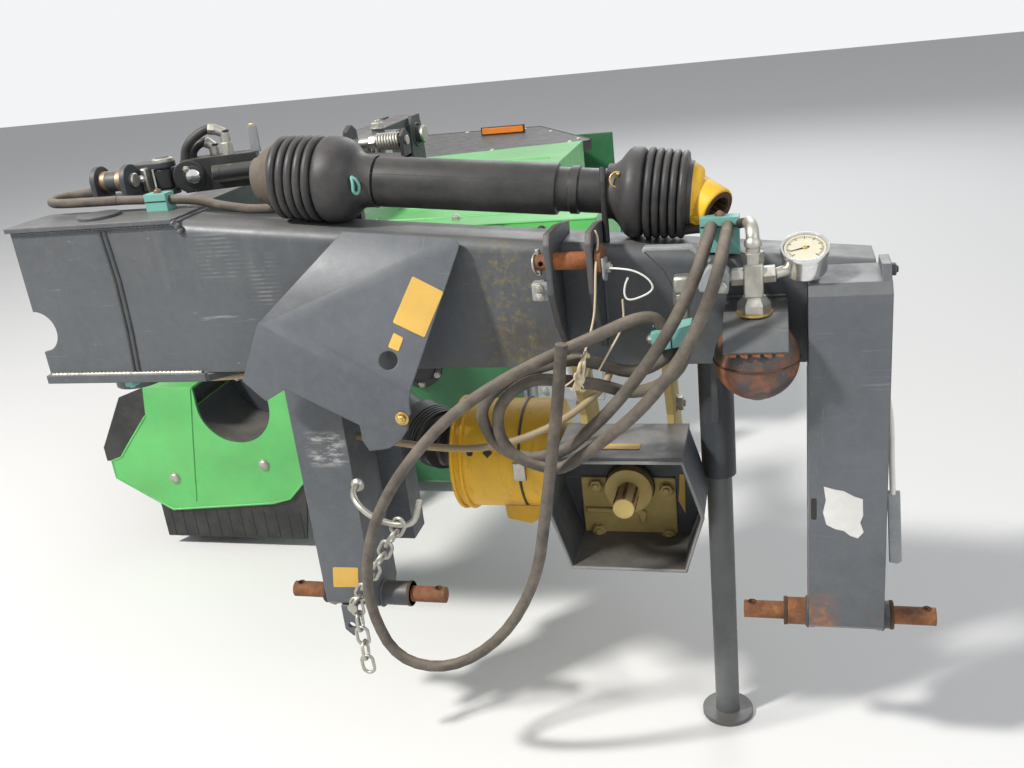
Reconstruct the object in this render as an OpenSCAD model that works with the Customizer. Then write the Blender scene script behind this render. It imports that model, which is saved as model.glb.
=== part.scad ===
// Rear-mounted disc mower conditioner, parked with its mowing unit swung back behind the headstock.
// X points to the photo's right, Y away from the tractor, Z up. The ground is z = 0.
// Modules are written from the headstock centre, between the lower hitch pins, at x = y = 0.

/* [Headstock] */
// Height of the lower hitch pins above the ground
pin_z = 300; // [250:5:400]
// Diameter of the lower hitch pins
pin_d = 28; // [22:0.5:37]
// Distance between the outer shoulders of the lower hitch pins
shoulder_w = 965; // [825:5:1010]
// Distance between the inner shoulders of the lower hitch pins
inner_w = 634; // [500:2:760]
// Length of each hitch pin beyond its shoulder
pin_stub = 62; // [50:1:90]
// Height of the top-link pin above the lower pins
mast_h = 595; // [460:5:685]
// Diameter of the top-link pin
top_pin_d = 25; // [19:0.5:32]
// Gap between the top-link plates
top_gap = 52; // [45:1:60]
// Left end of the beam
beam_x0 = -975; // [-1100:5:-800]
// Right end of the beam
beam_x1 = 450; // [400:5:600]
// Front face of the beam
beam_y0 = 42; // [20:1:80]
// Depth of the beam, front to back
beam_d = 110; // [100:2:130]
// Underside of the beam
beam_z0 = 710; // [600:5:800]
// Top of the beam at its left end
beam_z1 = 975; // [850:5:1050]
// Top of the beam at its right end
beam_z2 = 860; // [800:5:1000]
// Depth of the legs, front face at minus leg_front
leg_front = 40; // [30:1:80]

/* [Stand] */
// Outer diameter of the stand pipe
stand_d = 42; // [30:1:60]
// Stand, across
stand_x = 216; // [190:1:230]
// Stand, along
stand_y = 112; // [90:1:130]
// Distance the stand slides up into its sleeve
stand_travel = 140; // [60:5:145]

/* [Mowing unit] */
// Swing pivot, across
pivot_x = -830; // [-900:5:-700]
// Inner end of the cutterbar
bar_y0 = 640; // [600:10:800]
// Outer end of the cutterbar
bar_y1 = 2790; // [2400:10:3400]
// Cutterbar centre line
bar_x = -1130; // [-1300:10:-1000]
// Number of cutting discs
disc_n = 6; // [5:1:8]
// Distance between two discs
disc_pitch = 350; // [300:5:400]
// First disc
disc_y = 850; // [800:10:1000]
// Radius that the knife tips reach
knife_r = 169; // [150:1:200]
// Conditioner rotor, across
rotor_x = -600; // [-700:5:-500]
// Conditioner rotor, height
rotor_z = 390; // [330:5:500]
// Radius that the tine tips reach
tine_r = 228; // [180:1:260]
// Top of the hood
hood_z = 750; // [700:5:900]

/* [Stored drive shaft] */
// Outer diameter of the shaft's guard tube
guard_d = 80; // [60:1:100]
// Outer diameter of the guard bells
bell_d = 138; // [120:1:170]
// Bore of the tractor yoke
yoke_bore = 35; // [30:1:45]

/* [Hidden] */
$fn = 48;

// Headstock centre in the part's own frame, whose origin is the middle of the whole machine's base.
hitch_x = 420;
hitch_y = -1341;
steel = [0.30, 0.32, 0.34];
green = [0.20, 0.62, 0.28];
rust = [0.52, 0.30, 0.18];
yellow = [0.95, 0.72, 0.08];
black = [0.08, 0.08, 0.09];
zinc = [0.70, 0.71, 0.70];

beam_y1 = beam_y0 + beam_d;
pivot_y = beam_y0 + beam_d / 2;
end_wall_x = -750;
bend_x = -645;
slope = (beam_z1 - beam_z2) / (beam_x1 - bend_x);
lean = -atan(slope);
plate_t = 10;
leg_back = 65;
hinge_r = 30;
skin = 8;
barrel_r = beam_d / 2 - skin - 5;
arm_z0 = 840;
arm_z1 = 950;
arm_w = 2 * barrel_r;
arm_y1 = 1710;
tower_y = 1630;
tower_pin_z = 895;
ram_z = 1018;
ram_r = 20;
ram_rod_r = 12;
boom_eye = [-790, 262];
anchor_eye = [-410, 400];
ram_len = norm(anchor_eye - boom_eye);
ram_angle = atan2(anchor_eye[1] - boom_eye[1], anchor_eye[0] - boom_eye[0]);
top_x = 24;
top_pin_y = -12;
top_pin_z = pin_z + mast_h;
unit_x0 = -1370;
frame_y0 = 930;
frame_y1 = 2700;
swath_x = -312;
hood_y1 = frame_y1 - 590;
chain_pitch = 30;
chain_wire = 6;
peg_r = 6;
hook_r = 5;
chain_peg = [-400, -64, 315];
hook_z = 497.7;
cover_y0 = 928;
cover_y1 = 2696;
clip_x = [222, 246];
clip_y = 40;
clip_z = 922;
front_hinge = [-1166, 728];
swath_y0 = 950;
swath_y1 = 2680;

// Height of the beam's top at one place along it.
function leg_top(y) = beam_top(465) - 8 * (beam_y0 - y) / (beam_y0 + leg_front - 14);
function beam_top(x) = x < bend_x ? beam_z1 : beam_z1 - slope * (x - bend_x);

module place() {
    translate([hitch_x, hitch_y, 0]) children();
}

// Cylinder along X from x0 to x1.
module rod_x(x0, x1, y, z, r) {
    translate([x0, y, z]) rotate([0, 90, 0]) cylinder(r = r, h = x1 - x0);
}

// Cylinder along Y from y0 to y1.
module rod_y(x, y0, y1, z, r) {
    translate([x, y0, z]) rotate([-90, 0, 0]) cylinder(r = r, h = y1 - y0);
}

// Upright cylinder from z0 to z1.
module rod_z(x, y, z0, z1, r) {
    translate([x, y, z0]) cylinder(r = r, h = z1 - z0);
}

// Box between two corners.
module block(a, b) {
    translate(a) cube(b - a);
}

// Plate with its outline in X and Z, from y0 to y1.
module plate_xz(points, y0, y1) {
    translate([0, y1, 0]) rotate([90, 0, 0]) linear_extrude(y1 - y0) polygon(points);
}

// Plate with its outline in Y and Z, from x0 to x1.
module plate_yz(points, x0, x1) {
    translate([x0, 0, 0]) rotate([90, 0, 90]) linear_extrude(x1 - x0) polygon(points);
}

// Plate with its outline in X and Y, from z0 to z1.
module plate_xy(points, z0, z1) {
    translate([0, 0, z0]) linear_extrude(z1 - z0) polygon(points);
}

// Round bar between two points.
module bar_between(a, b, r) {
    d = b - a;
    len = norm(d);
    translate(a) rotate([0, acos(d[2] / len), atan2(d[1], d[0])]) cylinder(r = r, h = len);
}

// Removes a square edge along X at (y, z) and leaves a radius r. side is -1 for the front edge.
module edge_cut(len, y, z, r, side) {
    difference() {
        translate([-1, side < 0 ? y - 1 : y - r, z - r]) cube([len + 2, r + 1, r + 1]);
        translate([-2, y - side * r, z - r]) rotate([0, 90, 0]) cylinder(r = r, h = len + 4);
    }
}

module headstock_beam() {
    edge_r = 22;
    flange_t = 15;
    notch_r = 38;
    notch_z = 793;
    corner_r = 150;
    color(steel) {
        difference() {
            plate_xz([[end_wall_x, beam_z0], [beam_x1, beam_z0], [beam_x1, beam_z2],
                [bend_x, beam_z1], [end_wall_x, beam_z1]], beam_y0, beam_y1);
            translate([bend_x, 0, beam_z1]) rotate([0, -lean, 0]) {
                edge_cut(1110, beam_y0, 0, edge_r, -1);
                edge_cut(1110, beam_y1, 0, edge_r, 1);
            }
        }
        // End box: front plate with the half-round notch, top and bottom plates with the pivot's bores.
        difference() {
            block([beam_x0, beam_y0, beam_z0], [end_wall_x, beam_y0 + skin, beam_z1]);
            rod_y(beam_x0, beam_y0 - 1, beam_y0 + skin + 1, notch_z, notch_r);
        }
        for (z = [beam_z0 - flange_t, beam_z1]) {
            thick = z < beam_z0 ? flange_t : skin;
            reach = z < beam_z0 ? end_wall_x : -650;
            difference() {
                block([beam_x0 - 6, beam_y0 - 6, z], [reach, beam_y1, z + thick]);
                rod_z(pivot_x, pivot_y, z - 1, z + thick + 1, hinge_r + 0.05);
                difference() {
                    block([beam_x0 - 7, pivot_y, z - 1], [pivot_x, beam_y1 + 1, z + thick + 1]);
                    rod_z(pivot_x, pivot_y, z - 2, z + thick + 2, corner_r);
                }
            }
            if (z < beam_z0) {
                plate_xy([[end_wall_x, beam_y0 - 6], [-655, beam_y0 - 6], [-640, beam_y0 + 8],
                    [-640, beam_y1], [end_wall_x, beam_y1]], z, z + thick);
            }
        }
    }
}

module hinge_pin() {
    color(zinc) {
        rod_z(pivot_x, pivot_y, beam_z0 - 27, beam_z1 + skin + 1, hinge_r);
        rod_z(pivot_x, pivot_y, beam_z1 + skin, beam_z1 + skin + 5, 36);
        rod_z(pivot_x, pivot_y, beam_z0 - 35, beam_z0 - 15, 44);
    }
}

// Leg: a channel, open at the back below the beam, with pin bores in its sides.
module leg(x0, x1, top) {
    wall = 9;
    foot_z = pin_z - 12;
    side = [[-leg_front, foot_z + 14], [-leg_front + 14, foot_z], [leg_back - 15, foot_z - 6],
        [leg_back, foot_z + 10], [leg_back, beam_z0 - 15], [beam_y0, beam_z0 - 15],
        [beam_y0, top], [-leg_front + 14, top - 8], [-leg_front, top - 22]];
    difference() {
        plate_yz(side, x0, x1);
        block([x0 + wall, -leg_front + wall, foot_z - 20], [x1 - wall, leg_back + 5, beam_z0 - 60]);
        rod_x(x0 - 1, x1 + 1, 0, pin_z, pin_d / 2 + 0.05);
    }
}

module left_leg() {
    post = [[-401, -345], [112, 168]];
    peg = chain_peg;
    color(steel) {
        leg(-465, -372, beam_z0 + 70);
        // Brace post behind the leg, under the beam, and its tie plate.
        block([post[0][0], post[1][0], 345], [post[0][1], post[1][1], beam_z0]);
        block([-400, leg_back, 560], [-346, post[1][0], 660]);
        // Chain lug under the front wall, and the peg that the chain hangs on.
        difference() {
            plate_xz([[-440, pin_z - 5], [-412, pin_z - 5], [-412, 246], [-426, 232], [-440, 246]], -leg_front,
                -leg_front + 8);
            rod_y(-426, -leg_front - 1, -leg_front + 9, 254, 7);
        }
        rod_y(peg[0], peg[1] - 10, -leg_front, peg[2], peg_r);
    }
}

module right_leg() {
    color(steel) {
        leg(355, 465, beam_top(465));
        plate_yz([[-24, beam_z2 - 20], [beam_y0, beam_z2 - 20], [beam_y0, beam_z2 + 10], [-8, beam_z2 + 10]], 452, 465);
    }
}

// One side's hitch pin with its collars; s is -1 on the left.
module lower_pin(s, leg_in, leg_out) {
    shoulder = shoulder_w / 2;
    inner = inner_w / 2;
    collar_r = 21;
    a = inner - pin_stub;
    b = shoulder + pin_stub;
    hole_r = 5.5;
    mirror([s < 0 ? 1 : 0, 0, 0]) difference() {
        union() {
            rod_x(a, b, 0, pin_z, pin_d / 2);
            rod_x(inner, leg_in, 0, pin_z, collar_r);
            rod_x(leg_out, shoulder, 0, pin_z, collar_r);
        }
        rod_z(a + 13, 0, pin_z - 30, pin_z + 30, hole_r);
        rod_z(b - 13, 0, pin_z - 30, pin_z + 30, hole_r);
    }
}

module left_hitch_pin() {
    color(rust) lower_pin(-1, 372, 465);
}

module right_hitch_pin() {
    color(rust) lower_pin(1, 355, 465);
}

// Top-link bracket: two plates from the beam's front up over its top.
module top_link_bracket() {
    side = [[beam_y0, 742], [-8, 800], [-34, top_pin_z - 45], [-38, top_pin_z + 30], [-28, top_pin_z + 45],
        [40, top_pin_z + 43], [120, top_pin_z + 31]];
    t = 9;
    color(steel) for (x = [top_x - top_gap / 2 - t, top_x + top_gap / 2]) difference() {
        plate_yz(concat(side, [[120, beam_top(x)], [beam_y0, beam_top(x)]]), x, x + t);
        rod_x(x - 1, x + t + 1, top_pin_y, top_pin_z, top_pin_d / 2 + 0.05);
    }
}

module top_link_pin() {
    x0 = top_x - top_gap / 2 - 28;
    x1 = top_x + top_gap / 2 + 11;
    color(rust) difference() {
        rod_x(x0, x1, top_pin_y, top_pin_z, top_pin_d / 2);
        rod_y(x0 + 10, top_pin_y - 20, top_pin_y + 20, top_pin_z, 4);
    }
    // Flag plate that keeps the pin from turning.
    color(zinc) rod_x(x1, x1 + 9, top_pin_y, top_pin_z, 25, $fn = 6);
}

// Bent guard sheet over the left leg's top, in three flat panels.
module guard_sheet() {
    t = 4;
    // Columns: x, y, z of each corner of the front face.
    c = [[-350, 36, 947], [-154, 36, 926], [-434, -90, 836], [-230, -95, 715], [-507, -88, 743],
        [-471, -92, 710], [-433, -92, 730], [-316, -96, 670], [-315, -97, 644], [-272, -98, 631],
        [-235, -98, 680]];
    faces = [[0, 2, 1], [1, 2, 3], [2, 4, 5], [2, 5, 6], [2, 6, 7], [2, 7, 3], [3, 7, 10], [7, 8, 9], [7, 9, 10]];
    n = len(c);
    rim = [0, 1, 3, 10, 9, 8, 7, 6, 5, 4, 2];
    points = concat(c, [for (p = c) p + [0, t, -1]]);
    color(steel) difference() {
        polyhedron(points, concat(
            [for (f = faces) [for (i = [len(f) - 1:-1:0]) f[i]]],
            [for (f = faces) [for (i = f) i + n]],
            [for (i = [0:len(rim) - 1]) let (a = rim[i], b = rim[(i + 1) % len(rim)]) [a, b, b + n, a + n]]
        ), convexity = 6);
        translate([-258, -120, 777]) rotate([-90, 0, 0]) cylinder(r = 15, h = 60, $fn = 24);
    }
    // Two spacers that hold it to the leg.
    color(steel) for (p = [[-425, 722], [-390, 700]]) rod_y(p[0], -90, -leg_front, p[1], 8);
}

module input_gearbox() {
    x = 70;
    z = 430;
    color(yellow * 0.55) {
        block([x - 78, 95, z - 90], [x + 78, 245, z + 85]);
        rod_y(x, 60, 95, z + 48, 40);
        rod_x(-77, x - 78, 180, 493, 52);
        // Hanger plates up to the beam's underside.
        for (hx = [x - 78, x + 66]) plate_yz([[100, z + 85], [230, z + 85], [beam_y1 - 5, beam_z0],
            [60, beam_z0], [100, 600]], hx, hx + 12);
    }
    color(rust) rod_y(x, 0, 60, z + 48, 17.4);
}

// Room that the stand's sleeve keeps in the guard's back corner.
module stand_relief() {
    rod_z(stand_x, stand_y, 370, 590, stand_d / 2 + 12);
}

module input_guard() {
    t = 5;
    y0 = -30;
    y1 = 95;
    // Columns: x, z of the hexagonal frame, clockwise from its top left.
    outer = [[-30, 578], [172, 578], [200, 482], [170, 383], [-19, 383], [-46, 482]];
    color(steel) difference() {
        plate_xz(outer, y0, y1);
        plate_xz([for (p = outer) p + [p[0] > 70 ? -t : t, p[1] > 482 ? -t : p[1] < 482 ? t : 0]], y0 - 1, y1 + 1);
        stand_relief();
    }
    color(steel) difference() {
        plate_xz(outer, 88, 95);
        rod_y(70, 80, 100, 478, 40.05);
        block([-6, 80, 345], [146, 100, 480]);
        stand_relief();
    }
    // Top plate that runs back to the hangers.
    color(steel) block([-30, y0, 578], [172, 100, 584]);
}

module driveline_guard() {
    z = 493;
    x0 = -245;
    x1 = -62;
    color(yellow) {
        difference() {
            rod_x(x0, x1, 180, z, 98);
            rod_x(x0 - 1, x1 - 6, 180, z, 92);
            rod_x(x1 - 7, x1 + 1, 180, z, 52);
        }
        for (x = [x0, x0 + 16]) difference() {
            rod_x(x, x + 6, 180, z, 103);
            rod_x(x - 1, x + 7, 180, z, 92);
        }
    }
}

module driveline_shaft() {
    a = [-130, 180, 493];
    b = [-300, 204, 508];
    c = [-560, 430, 560];
    color(black) {
        rod_x(a[0], -77, 180, a[2], 34);
        bar_between(a, b, 30);
        bar_between(b * 1.08 - c * 0.08, b * 0.8 + c * 0.2, 50);
        bar_between(b, c, 37);
        bar_between(b * 0.12 + c * 0.88, c * 1.04 - b * 0.04, 48);
    }
}

module accumulator() {
    c = [284, -30, 745];
    color([0.20, 0.12, 0.10]) {
        translate(c) sphere(r = 60);
        rod_z(c[0], c[1], 800, 814, 14);
    }
}

module accumulator_bracket() {
    t = 5;
    color(steel) {
        // Bent top: a level plate, a sloped front and a back plate on the beam's face.
        difference() {
            plate_yz([[beam_y0, 808], [-34, 808], [-66, 798], [-90, 772], [-94, 776], [-70, 804], [-36, 814],
                [beam_y0, 814]], 240, 328);
            rod_z(284, -30, 700, 900, 14.05);
        }
        block([240, beam_y0 - t, 760], [328, beam_y0, 814]);
    }
}

module valve_block() {
    y = -14;
    color(zinc) {
        // Tee on the accumulator, with its nut and the elbow above it.
        rod_z(282, y - 16, 814, 836, 20, $fn = 6);
        block([269, y - 27, 836], [295, y, 884]);
        rod_z(282, y - 14, 884, 906, 9);
        hose(rounded([[282, y - 14, 900], [282, y - 14, 928], [282, 24, 934], [282, 62, 918], [282, 62, beam_top(275)]]), 7);
        // Run of fittings to the left: shut-off valve, then an elbow down.
        rod_x(252, 269, y - 14, 866, 11, $fn = 6);
        block([206, y - 34, 848], [250, y + 10, 886]);
        rod_x(250, 252, y - 14, 866, 10);
        rod_x(190, 206, y - 14, 862, 10);
        block([172, y - 27, 838], [192, y - 1, 872]);
        rod_z(182, y - 14, 800, 838, 8);
        // Lever of the shut-off valve.
        block([138, y - 22, 897], [214, y - 8, 901]);
        block([208, y - 22, 886], [214, y - 8, 897]);
        // Run to the gauge.
        rod_x(295, 320, y - 14, 862, 10, $fn = 6);
    }
    color(steel) block([214, y + 10, 850], [242, beam_y0, 880]);
}

module pressure_gauge() {
    c = [351, -10, 880];
    stem = [[-13, 3], [356, 370]];
    color([0.78, 0.76, 0.68]) {
        translate(c) rotate([24, 0, 0]) {
            translate([0, 0, -14]) cylinder(r = 31, h = 34);
            translate([0, 0, 20]) difference() {
                cylinder(r = 32, h = 4);
                translate([0, 0, 2]) cylinder(r = 28, h = 3);
            }
        }
        plate_yz([[stem[0][0], leg_top(stem[0][0])], [stem[0][1], leg_top(stem[0][1])], [stem[0][1], 874],
            [stem[0][0], 874]], stem[1][0], stem[1][1]);
    }
}

module stand_sleeve() {
    color(steel) difference() {
        union() {
            rod_z(stand_x, stand_y, 490, beam_z0, stand_d / 2 + 7);
            block([stand_x - 5, stand_y - 45, 600], [stand_x + 5, stand_y + 35, beam_z0]);
        }
        rod_z(stand_x, stand_y, 480, beam_z0 + 1, stand_d / 2 + 0.1);
    }
}

module stand_leg() {
    color([0.24, 0.25, 0.26]) difference() {
        union() {
            rod_z(stand_x, stand_y, 8, beam_z0 - stand_travel - 5, stand_d / 2);
            rod_z(stand_x, stand_y, 0, 8, 45);
        }
        for (z = [180, 240]) rod_x(stand_x - 40, stand_x + 40, stand_y, z, 6);
    }
}

// The stored shaft lies on the beam: everything of it is drawn level, then leant along the beam's top.
module on_beam() {
    translate([-426, 110, beam_top(-426) + bell_d / 2 / cos(lean)]) rotate([0, -lean, 0]) children();
}

module stored_shaft_tube() {
    color(black) on_beam() {
        rod_x(62, 420, 0, 0, guard_d / 2);
        rod_x(420, 498, 0, 0, guard_d / 2 - 6);
    }
}

module stored_shaft_bells() {
    r = bell_d / 2;
    color(black) on_beam() {
        // Left bell and its four bellows ribs.
        rotate([0, 90, 0]) rotate_extrude() polygon([[0, -66], [r - 12, -66], [r, -60], [r, -54], [r - 9, -48],
            [r, -42], [r, -36], [r - 9, -30], [r, -24], [r, -18], [r - 9, -12], [r - 2, -4], [r, 8], [r - 6, 30],
            [r - 22, 46], [r - 28, 62], [0, 62]]);
        // Right bell and its four bellows ribs.
        translate([532, 0, 0]) rotate([0, 90, 0]) rotate_extrude() polygon([[0, -34], [r - 28, -34], [r - 20, -24],
            [r - 4, -6], [r, 6], [r - 2, 14], [r - 9, 20], [r, 26], [r, 32], [r - 9, 38], [r, 44], [r, 50],
            [r - 9, 56], [r, 62], [r, 68], [r - 9, 74], [r - 4, 80], [r - 10, 86], [0, 86]]);
    }
}

module stored_shaft_yokes() {
    color(yellow) on_beam() difference() {
        translate([618, 0, 0]) rotate([0, 90, 0]) union() {
            cylinder(r1 = 48, r2 = 38, h = 22);
            translate([0, 0, 22]) cylinder(r = 33, h = 34);
            translate([26, -20, 30]) cylinder(r = 9, h = 14);
        }
        rod_x(636, 690, 0, 0, yoke_bore / 2);
    }
    color([0.40, 0.37, 0.33]) on_beam() rotate([0, -90, 0]) translate([0, 0, 66]) {
        cylinder(r1 = 54, r2 = 34, h = 34);
        translate([0, 0, 34]) cylinder(r = 30, h = 26);
    }
}

// Hook that carries the shaft's right end, on the bracket.
module shaft_cradle() {
    x = top_x + top_gap / 2 + 14;
    route = [[x, 69, beam_top(x - 5)], [x, 69, 950], [x, 68, 985], [x, 78, 1012]];
    color(black) hose(rounded(route), 5);
}

module hook_rod() {
    route = [[-390, -leg_front, 584], [-390, -72, 584], [-350, -98, 572], [-318, -101, 528],
        [-290, -101, hook_z], [-250, -101, hook_z], [-236, -98, 540]];
    color(zinc) hose(rounded(route), hook_r, [0, 0, 1]);
}

// One chain link: a flat ring with straight sides, along its own X.
module link() {
    half = chain_pitch / 2;
    flat = half - 8;
    translate([0, 0, -chain_wire / 2]) linear_extrude(chain_wire) difference() {
        union() {
            square([2 * flat, 16 + 2 * chain_wire], center = true);
            for (x = [-flat, flat]) translate([x, 0]) circle(r = 8 + chain_wire);
        }
        square([2 * flat, 16], center = true);
        for (x = [-flat, flat]) translate([x, 0]) circle(r = 8);
    }
}

// Straight run of links from a start along a direction; the first link's turn is given.
module chain_run(start, toward, links, turn) {
    d = (toward - start) / norm(toward - start);
    for (i = [0:links - 1])
        translate(start + d * (chain_pitch * i))
            rotate([0, acos(d[2]) - 90, atan2(d[1], d[0])])
                rotate([(turn + i) % 2 * 90, 0, 0]) link();
}

// Chain from the hook down to the leg's foot, and its loose end below.
module safety_chain() {
    hook = [-276, -101, hook_z];
    to_peg = (chain_peg - hook) / norm(chain_peg - hook);
    reach = chain_pitch / 2 - peg_r;
    color(zinc) {
        chain_run(hook + to_peg * 5.8, chain_peg, 8, 0);
        chain_run([chain_peg[0], -57, chain_peg[2] - reach], [chain_peg[0], -57, 0], 5, 1);
    }
}

// Console behind the beam with the two ears for the ram's rod eye; it stands clear of the stored shaft.
module ram_anchor() {
    x0 = anchor_eye[0] - 32;
    x1 = anchor_eye[0] + 32;
    post_y = 184;
    z0 = ram_z - 34;
    z1 = ram_z + 24;
    color(steel) {
        for (z = [z0, z1]) difference() {
            block([x0, post_y, z], [x1, anchor_eye[1] + 30, z + 10]);
            rod_z(anchor_eye[0], anchor_eye[1], z - 1, z + 11, 12.55);
        }
        block([x0, post_y, beam_z0 + 60], [x1, post_y + 16, z1 + 10]);
        block([x0, beam_y1, beam_z0 + 60], [x1, post_y, beam_z0 + 190]);
    }
    // Ends of the eye's pin, one in each ear.
    color(zinc) {
        rod_z(anchor_eye[0], anchor_eye[1], z0 - 6, z0 + 10, 12.5);
        rod_z(anchor_eye[0], anchor_eye[1], z1, z1 + 18, 12.5);
    }
}

// Frame of the ram: x runs from the boom's eye to the anchor's eye.
module at_ram() {
    translate([boom_eye[0], boom_eye[1], ram_z]) rotate([0, 0, ram_angle]) children();
}

// Barrel in its box, a tube along the box's face, and the two ports with their short hoses.
module ram_barrel() {
    len = ram_len - 60;
    box = [[36, -24, -30], [175, 20, 30]];
    tube_y = -38;
    // Each port's place, its height, and the heights of its hose at four places on the way to the box's left end.
    ports = [[124, -11, 74, [100, 81], [74, 72], [50, 52], [43, 27]], [96, 10, 50, [84, 56], [70, 53], [56, 42], [53, 27]]];
    color([0.16, 0.17, 0.18]) at_ram() difference() {
        union() {
            rod_x(34, len, 0, 0, ram_r);
            block(box[0], box[1]);
            block([0, -13, -17], [60, 13, 17]);
            translate([0, 0, -17]) cylinder(r = 20, h = 34);
            rod_x(95, 300, tube_y, 0, 16);
        }
        translate([0, 0, -20]) cylinder(r = 12.55, h = 40);
        rod_x(70, len + 1, 0, 0, ram_rod_r + 0.05);
        rod_x(94, 301, tube_y, 0, 12);
    }
    color([0.16, 0.17, 0.18]) at_ram() for (p = ports) {
        rod_z(p[0], p[1], 29, p[2], 9);
        hose(rounded(rounded(concat([[p[0], p[1], p[2] - 6]], [for (i = [3:6]) [p[i][0], p[1], p[i][1]]]))), 8);
    }
}

module ram_rod() {
    color(zinc) at_ram() difference() {
        union() {
            rod_x(80, ram_len - 16, 0, 0, ram_rod_r);
            translate([ram_len, 0, -17]) cylinder(r = 21, h = 34);
        }
        translate([ram_len, 0, -20]) cylinder(r = 12.55, h = 40);
    }
}

// Boom: barrel on the swing pivot, arm over the unit, the ears that carry the ram, and the clevis beside them.
module boom_arm() {
    web_x = boom_eye[0] - 46;
    saddle_z = ram_z - 30;
    ear_t = 10;
    clevis_y = 205;
    clevis_z = 1028;
    line = [[-806, 127, 1004], [-840, 128, 1004], [-880, 130, 1004], [-950, 136, 1004], [-972, 165, 1006],
        [-950, 196, 1008], [-890, 202, 1010]];
    color(steel) {
        difference() {
            union() {
                rod_z(pivot_x, pivot_y, beam_z0 + 5, beam_z1 - 5, barrel_r);
                block([pivot_x - arm_w / 2, pivot_y, arm_z0], [pivot_x + arm_w / 2, arm_y1, arm_z1]);
            }
            rod_z(pivot_x, pivot_y, beam_z0, beam_z1, hinge_r + 0.05);
            rod_x(pivot_x - arm_w, pivot_x + arm_w, tower_y, tower_pin_z, 25.05);
        }
        for (z = [saddle_z, ram_z + 20]) difference() {
            union() {
                block([web_x, boom_eye[1] - 22, z], [boom_eye[0], boom_eye[1] + 22, z + ear_t]);
                rod_z(boom_eye[0], boom_eye[1], z, z + ear_t, 22);
            }
            rod_z(boom_eye[0], boom_eye[1], z - 1, z + ear_t + 1, 12.55);
        }
        block([web_x - 12, boom_eye[1] - 22, saddle_z], [web_x, boom_eye[1] + 22, ram_z + 30]);
        block([web_x - 12, boom_eye[1] + 2, arm_z1], [web_x, boom_eye[1] + 22, saddle_z]);
        // Saddle over the beam's end with the two rounded clevis plates.
        block([-894, 172, saddle_z], [-812, 250, saddle_z + ear_t]);
        for (x = [-894, -832]) {
            block([x, clevis_y - 27, saddle_z], [x + ear_t, clevis_y + 27, clevis_z]);
            rod_x(x, x + ear_t, clevis_y, clevis_z, 27);
        }
    }
    // Ram pin, clevis roller, and the hose that runs to the clevis over the beam's end.
    color(zinc) rod_z(boom_eye[0], boom_eye[1], ram_z - 29, ram_z + 38, 12.5);
    color(rust) rod_x(-884, -832, clevis_y, clevis_z - 2, 18);
    color([0.42, 0.38, 0.33]) hose(rounded(rounded(line)), 8, [0, 0, 1]);
}

module unit_frame() {
    tube = [[-890, -770], [610, 710]];
    color(steel) {
        block([tube[0][0], frame_y0 - 6, tube[1][0]], [tube[0][1], frame_y1, tube[1][1]]);
        for (y = [1200, 2000]) block([tube[0][0], y, tube[1][1]], [tube[0][1], y + 12, hood_z - 4]);
        for (x = [pivot_x - arm_w / 2 - 12, pivot_x + arm_w / 2]) difference() {
            plate_yz([[tower_y - 80, 640], [tower_y + 70, 640], [tower_y + 50, 930], [tower_y + 25, 955],
                [tower_y - 25, 955], [tower_y - 50, 930]], x, x + 12);
            rod_x(x - 1, x + 13, tower_y, tower_pin_z, 25.05);
        }
    }
    color(zinc) {
        rod_x(pivot_x - 76, pivot_x + 76, tower_y, tower_pin_z, 25);
    }
}

module cutterbar() {
    color(steel) {
        difference() {
            block([bar_x - 130, bar_y0, 32], [bar_x + 110, bar_y1, 90]);
            for (y = [bar_y0, bar_y1]) translate([bar_x - 130, y, 0]) rotate([0, 0, 45])
                cube([60, 60, 240], center = true);
        }
        // Skids under each disc.
        for (i = [0:disc_n - 1]) {
            y = disc_y + i * disc_pitch;
            plate_xz([[bar_x - 150, 60], [bar_x - 130, 14], [bar_x - 90, 0], [bar_x + 150, 0], [bar_x + 170, 8],
                [bar_x + 100, 14], [bar_x - 84, 14], [bar_x - 118, 36], [bar_x - 130, 60]], y - 120, y + 120);
            rod_z(bar_x, y, 89, 98, 70);
        }
    }
}

// Cutting disc on its hub, with two knives.
module disc(i) {
    y = disc_y + i * disc_pitch;
    turn = 35 + 60 * (i % 3);
    cap_h = i == 0 || i == disc_n - 1 ? 150 : 28;
    color(zinc * 0.7) translate([bar_x, y, 98.5]) rotate([0, 0, turn]) {
        rotate_extrude() polygon([[0, 0], [60, 0], [70, 8], [118, 8], [122, 12], [112, 20], [70, 32], [58, 44],
            [52, 44 + cap_h], [0, 48 + cap_h]]);
        for (side = [0, 180]) rotate([0, 0, side]) block([104, -24, 3], [knife_r, 20, 8]);
    }
}

// Rotor tube with its rows of steel tines.
module conditioner_rotor() {
    y0 = frame_y0 + 25;
    y1 = frame_y1 - 25;
    along = 13;
    around = 4;
    margin = 60;
    first = 22.5;
    step = (y1 - y0 - 2 * margin) / (along - 0.5);
    splay = 9;
    color(steel) {
        rod_y(rotor_x, y0, y1, rotor_z, 55);
        rod_y(rotor_x, frame_y0 - 5, frame_y1 + 5, rotor_z, 22);
    }
    color(zinc * 0.8) for (i = [0:along - 1], k = [0:around - 1])
        translate([rotor_x, y0 + margin + (i + (k % 2) * 0.5) * step, rotor_z])
            rotate([0, (k + (i % 2) / 2) * 360 / around + first, 0])
                for (s = [-1, 1]) rotate([s * splay, 0, 0]) block([-13, -4, 44], [13, 4, tine_r - 6]);
}

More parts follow.
